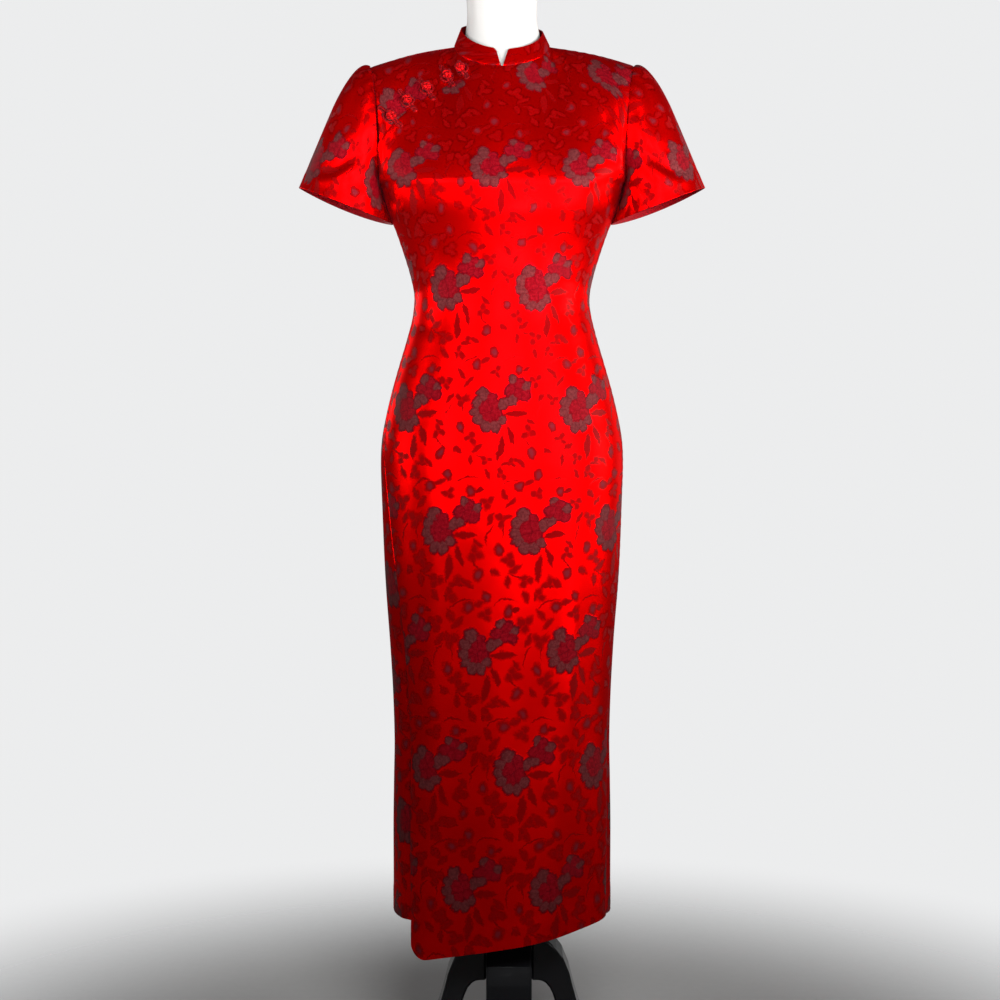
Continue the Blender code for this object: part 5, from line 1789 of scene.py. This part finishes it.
@dataclass
class KnotButtons:
    """The row of knotted balls in their loops along the side opening."""

    opening: SideOpening
    cloth: Sequence[Object]
    finish: Material  # of the balls
    # the cords on the cloth share the balls' satin in a darker copy, painted shade around and under the
    # balls
    shaded_flat_finish: Material  # of the cords that lie on the cloth
    thread: Material
    places: tuple = (-0.0500, -0.0740, -0.1010, -0.1270, -0.1500)
    rise: float = 0.0106  # from the edge up to a ball's middle
    ball: float = 0.0082  # radius
    ball_cord: float = 0.0025
    ball_flat: float = 0.96
    heart: float = 0.72  # radius of the cord inside, in the ball's
    lap: float = 0.35  # how far the cord swings over and under itself, in its radius
    leads: int = 3  # turns of the cord around the ball
    bights: int = 4  # scallops of its rim
    lean: float = 63.0  # how far the scallops reach from the ball's middle, degrees
    cord: float = 0.0017  # radius of the loop's cord
    loop: float = 0.0083  # radius of the ring
    tail: float = 0.0100  # length of the part that is sewn down
    tuck: float = 0.00025  # how far the cords sink into the cloth
    apart: float = 1.02  # half the spacing of two cords side by side, in their radii

    def build(self) -> None:
        """Makes all the buttons from the neck outwards."""
        tree = self.tree()
        for number, x in enumerate(self.places, start=1):
            seat = self.seat(tree, x)
            self.build_loop(number, seat)
            self.build_ball(number, seat)
            self.build_tail(number, seat)
            self.sew(number, seat)

    def tree(self) -> BVHTree:
        """A search tree over the cloth pieces that the buttons lie on."""
        places, faces = [], []
        for piece in self.cloth:
            faces += [[len(places) + k for k in face.vertices] for face in piece.data.polygons]
            places += [vertex.co.copy() for vertex in piece.data.vertices]
        return BVHTree.FromPolygons(places, faces)

    def seat(self, tree: BVHTree, x: float) -> Seat:
        """The seat of the ball over the edge's point at x."""
        slope = float(self.opening.height(x + 0.005) - self.opening.height(x - 0.005)) / 0.01
        edge = Vector((1.0, 0.0, slope)).normalized()
        spot = Vector((x - edge.z * self.rise, -1.0, float(self.opening.height(x)) + edge.x * self.rise))
        place, normal, _, _ = tree.ray_cast(spot, Vector((0.0, 1.0, 0.0)))
        upward = normal.cross(edge)
        upward = (upward - normal * upward.dot(normal)).normalized()
        return Seat(*(np.array(way) for way in (place, normal, upward, normal.cross(upward))), tree)

    def lay_cord(self, name: str, seat: Seat, path: Array, height: Union[Number, Array],
                 *nodes: str) -> None:
        """Lays a flat cord on the cloth in place of its solids.

        Args:
            name: the piece's name.
            seat: where it lies.
            path: steps upward and along.
            height: how high its middle lies over the cloth.
            nodes: the solids that it stands for.
        """
        mesh = CordMesh()
        laid = seat.lay(stacked(path[:, 0], path[:, 1], height))
        mesh.add(laid, np.tile(seat.out, (len(path), 1)), self.cord)
        settle(mesh.to_object(name, self.shaded_flat_finish), "red_satin_cord", *nodes)

    def build_loop(self, number: int, seat: Seat) -> None:
        """The ring around the ball, whose ends run on side by side and are sewn down."""
        half = self.cord * self.apart
        open_turn = math.asin(half / self.loop)
        turns = np.linspace(open_turn, 2 * math.pi - open_turn, 44)
        far = self.loop + self.cord + self.tail
        legs = np.linspace(self.loop * math.cos(open_turn), far - half, 12)[1:]
        path = np.concatenate([
            stacked(self.loop * np.cos(turns), self.loop * np.sin(turns)), stacked(legs, -half),
            stacked(far - half + half * np.sin(BEND), -half * np.cos(BEND)), stacked(legs[::-1], half),
        ])
        self.lay_cord(f"button_loop_{number}", seat, path, self.cord - self.tuck,
                      f"loop_{number}", f"tab_upper_{number}")

    def build_ball(self, number: int, seat: Seat) -> None:
        """The ball, woven of one cord that passes over and under itself."""
        walk = np.linspace(0.0, 2 * math.pi * self.leads, 216, endpoint=False)
        swing = walk * self.bights / self.leads
        lean = np.radians(self.lean) * np.cos(swing)
        reach = self.ball - self.ball_cord * (1.0 + self.lap) + self.lap * self.ball_cord * np.sin(2 * swing)
        away = stacked(np.cos(lean) * np.cos(walk), np.cos(lean) * np.sin(walk),
                       np.sin(lean) * self.ball_flat)
        axes = np.stack([seat.upward, seat.along, seat.out])
        middle = seat.place + seat.out * (self.ball * self.ball_flat + 0.0004)
        mesh = CordMesh(sides=10)
        mesh.add(middle + (away * reach[:, None]) @ axes, unit(away) @ axes, self.ball_cord)
        made = mesh.to_object(f"knot_button_{number}", self.finish, (middle, self.ball * self.heart))
        settle(made, "red_satin_cord", f"knot_{number}")

    def build_tail(self, number: int, seat: Seat) -> None:
        """The ball's two cord ends, which pass over the loop and are sewn to the big front."""
        half = self.cord * self.apart
        low = -self.rise - 0.0008 - self.tail
        top = -self.ball * 0.45
        legs = np.linspace(low + half, top, 26)
        path = np.concatenate([
            stacked(legs, -half), stacked(top + half * np.sin(BEND), -half * np.cos(BEND)),
            stacked(legs[::-1], half), stacked(low + half - half * np.sin(BEND), half * np.cos(BEND)),
        ])
        over = smoothstep(-self.rise - 0.0005, -self.loop - 0.0002, path[:, 0])
        height = self.cord - self.tuck + over * (2.1 * self.cord)
        self.lay_cord(f"button_tail_{number}", seat, path, height, f"tab_lower_{number}")

    def sew(self, number: int, seat: Seat) -> None:
        """The whip stitches beside the cords' sewn parts."""
        aside = self.cord * 2.05
        far = self.loop + self.cord
        turn = np.linspace(0.0, math.pi, 7)[1:-1]
        for end, low, high in (("upper", far + 0.001, far + self.tail - 0.001),
                               ("lower", -self.rise - self.tail, -self.rise - 0.002)):
            steps = np.linspace(low, high, 12)
            round_end = stacked(high + aside * 0.6 * np.sin(turn), -aside * np.cos(turn))
            line = np.concatenate([
                stacked(steps, -aside), round_end if end == "upper" else round_end[:0],
                stacked(steps[::-1], aside),
            ])
            laid = seat.lay(stacked(line[:, 0], line[:, 1], 0.00035))
            stitches = StitchRow(0.0016, 0.0011, 0.00026, seed=number)
            stitches.build(f"button_stitches_{end}_{number}", laid, self.thread)


# ---- the studio ----

def aimed(name: str, data: bpy.types.ID, place: Sequence[float], target: Sequence[float]) -> Object:
    """Makes a light or a camera an object at a place, turned to its target."""
    made = link(bpy.data.objects.new(name, data))
    made.location = place
    made.rotation_euler = (Vector(target) - Vector(place)).to_track_quat("-Z", "Y").to_euler()
    return made


@dataclass(frozen=True)
class SoftBox:
    """A rectangular soft light."""

    name: str
    place: Triple
    target: Triple
    size: Pair
    power: float
    spread: float = 180.0  # degrees over which it shines

    def build(self) -> None:
        """Hangs the light and turns it to its target."""
        lamp = bpy.data.lights.new(self.name, "AREA")
        lamp.shape = "RECTANGLE"
        lamp.size, lamp.size_y = self.size
        lamp.energy = self.power
        lamp.spread = math.radians(self.spread)
        aimed(self.name, lamp, self.place, self.target)


@dataclass(frozen=True)
class Studio:
    """The pale floor, the light and the camera."""

    lights: tuple = (
        SoftBox("key_light", (0.15, -3.3, 1.46), (0.0, 0.0, 1.74), (1.5, 0.72), 7.0, 44.0),
        SoftBox("key_left_light", (-1.75, -2.7, 1.42), (0.0, 0.0, 1.68), (1.3, 0.75), 4.4, 42.0),
        SoftBox("key_right_light", (1.95, -2.6, 1.42), (0.0, 0.0, 1.68), (1.3, 0.75), 9.6, 46.0),
        SoftBox("low_light", (0.55, -2.5, 0.30), (0.06, 0.0, 1.38), (1.6, 0.45), 2.35, 22.0),
        SoftBox("low_right_light", (2.0, -1.9, 0.35), (0.06, -0.05, 1.34), (1.2, 0.5), 1.8, 24.0),
        SoftBox("skirt_light", (0.3, -2.6, 2.3), (0.0, 0.0, 0.38), (1.0, 0.7), 3.1, 34.0),
        SoftBox("left_light", (-2.9, -0.6, 1.35), (0.0, 0.0, 1.48), (0.9, 0.7), 1.5, 26.0),
        SoftBox("right_light", (2.9, -0.5, 1.30), (0.0, 0.0, 1.46), (1.2, 0.9), 7.5, 46.0),
        SoftBox("left_back_light", (-2.2, 2.2, 1.6), (0.0, 0.0, 1.80), (1.6, 0.9), 1.6, 40.0),
        SoftBox("right_back_light", (2.2, 2.0, 1.3), (0.0, 0.0, 1.0), (1.8, 1.6), 10.0),
    )
    camera_place: tuple = (0.0, -3.0, 1.12)
    camera_target: tuple = (0.0, 0.0, 0.885)
    focal_pixels: float = 2060.0
    frame_pixels: float = 1000.0
    sensor: float = 36.0
    shift: float = -0.002
    sky_seen: Triple = (0.84, 0.845, 0.85)
    sky_light: tuple = (0.15, 0.13)  # strength below and above the sky's rise
    sky_rise: tuple = (-0.30, 0.10)  # sines of the elevations between which it brightens
    floor_radius: float = 1.5
    floor_fade: tuple = (0.55, 1.45)

    def build(self) -> None:
        """Sets up the whole studio."""
        self.build_floor()
        self.build_sky()
        for light in self.lights:
            light.build()
        self.build_camera()

    def build_floor(self) -> None:
        """A pale floor that fades into the backdrop at its rim."""
        mesh = bpy.data.meshes.new("floor")
        bm = bmesh.new()
        bmesh.ops.create_circle(bm, cap_ends=True, segments=96, radius=self.floor_radius)
        bmesh.ops.translate(bm, verts=bm.verts, vec=(0.0, 0.0, -0.0005))
        bm.to_mesh(mesh)
        bm.free()
        graph = Graph.of(bpy.data.materials.new("pale_floor"))
        place = graph.object_place()
        speckle = graph.noise(place, 60.0, 3.0)
        shader = graph.node("ShaderNodeBsdfPrincipled", {
            "Base Color": graph.mix(speckle, (0.52, 0.52, 0.515), (0.48, 0.48, 0.475)),
            "Roughness": 0.75})
        clear = graph.node("ShaderNodeBsdfTransparent")
        blend = graph.node("ShaderNodeMixShader", {
            0: graph.length(place).ramp(*self.floor_fade), 1: shader.outputs[0], 2: clear.outputs[0]})
        mesh.materials.append(graph.finish(blend))
        link(bpy.data.objects.new("floor", mesh))

    def build_sky(self) -> None:
        """The pale backdrop, which shows brighter than it lights."""
        graph = Graph.of(bpy.data.worlds.new("studio"))
        height = graph.axes(graph.node("ShaderNodeTexCoord").outputs["Generated"])[2]
        seen = graph.node("ShaderNodeBackground", {"Color": (*self.sky_seen, 1.0)})
        light = graph.node("ShaderNodeBackground", {
            "Color": (1.0, 1.0, 1.0, 1.0), "Strength": height.ramp(*self.sky_rise, *self.sky_light)})
        camera_ray = graph.node("ShaderNodeLightPath").outputs["Is Camera Ray"]
        bpy.context.scene.world = graph.finish(graph.node("ShaderNodeMixShader", {
            0: camera_ray, 1: light.outputs[0], 2: seen.outputs[0]}))

    def build_camera(self) -> None:
        """The camera, level with the chest and tilted a little down."""
        data = bpy.data.cameras.new("camera")
        data.sensor_width = self.sensor
        data.sensor_fit = "HORIZONTAL"
        data.lens = self.sensor * self.focal_pixels / self.frame_pixels
        data.shift_x = self.shift
        data.clip_end = 50.0
        bpy.context.scene.camera = aimed("camera", data, self.camera_place, self.camera_target)
        bpy.context.scene.view_settings.view_transform = "Standard"


# ---- building ----

def dress_node(name: str, finish: Material) -> None:
    """Gives a solid that stays in view its finish, and its bends a smooth shading."""
    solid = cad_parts[name]
    solid.data.materials.clear()
    solid.data.materials.append(finish)
    solid.data.shade_smooth()
    solid.data.set_sharp_from_angle(angle=math.radians(38.0))
    LOG.info("%s: finished with %s", name, finish.name)


def build_shell(finish: Material) -> Object:
    """The form's moulded shell, with the solid's flats rounded off."""
    bm = bmesh.new()
    bm.from_mesh(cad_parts["form_torso"].data)
    bmesh.ops.remove_doubles(bm, verts=bm.verts, dist=0.00002)
    bmesh.ops.join_triangles(bm, faces=bm.faces, angle_face_threshold=math.radians(40.0),
                             angle_shape_threshold=math.radians(50.0))
    mesh = bpy.data.meshes.new("form_shell")
    bm.to_mesh(mesh)
    bm.free()
    made = link(bpy.data.objects.new("form_shell", mesh))
    rounding = made.modifiers.new("rounding", "SUBSURF")
    rounding.levels = rounding.render_levels = 2
    make_plain(made, rounding)
    made.data.materials.clear()
    made.data.materials.append(finish)
    return settle(made, "form_shell", "form_torso")


def main() -> None:
    """Builds the dress, its fastenings, the form's finishes and the studio."""
    logging.basicConfig(level=logging.INFO, format="%(message)s")
    Studio().build()
    body = BodySurface()
    opening = SideOpening(body)
    thread, cord = SewingThread().material(), SatinCord().material()
    # painted shade: the cords on the cloth are the balls' satin at half its brightness, standing in for the
    # shade around and under the balls
    shaded_flat_cord = SatinCord((0.20, 0.0005, 0.0010), (0.07, 0.0003, 0.0006), 0.30, 0.44,
                          "red_satin_flat_cord").material()
    cutting = Cutting(body, opening, BrocadeSatin().material(), SatinReverse().material(), thread)
    big_front = FrontPanel(cutting).build()
    small_front = ShoulderPiece(cutting).build()
    BackPanel(cutting).build()
    for side in Side:
        Sleeve(cutting, side).build()
    Collar(cutting).build()
    KnotButtons(opening, (big_front, small_front), cord, shaded_flat_cord, thread).build()
    shell, black = MouldedShell().material(), GlossyBlack().material()
    build_shell(shell)
    dress_node("neck_cap", shell)
    for name in ("hub", "pole_socket", "leg_front", "leg_back", "leg_left", "leg_right"):
        dress_node(name, black)
    dress_node("pole", BrushedSteel().material())


if __name__ == "__main__":
    main()
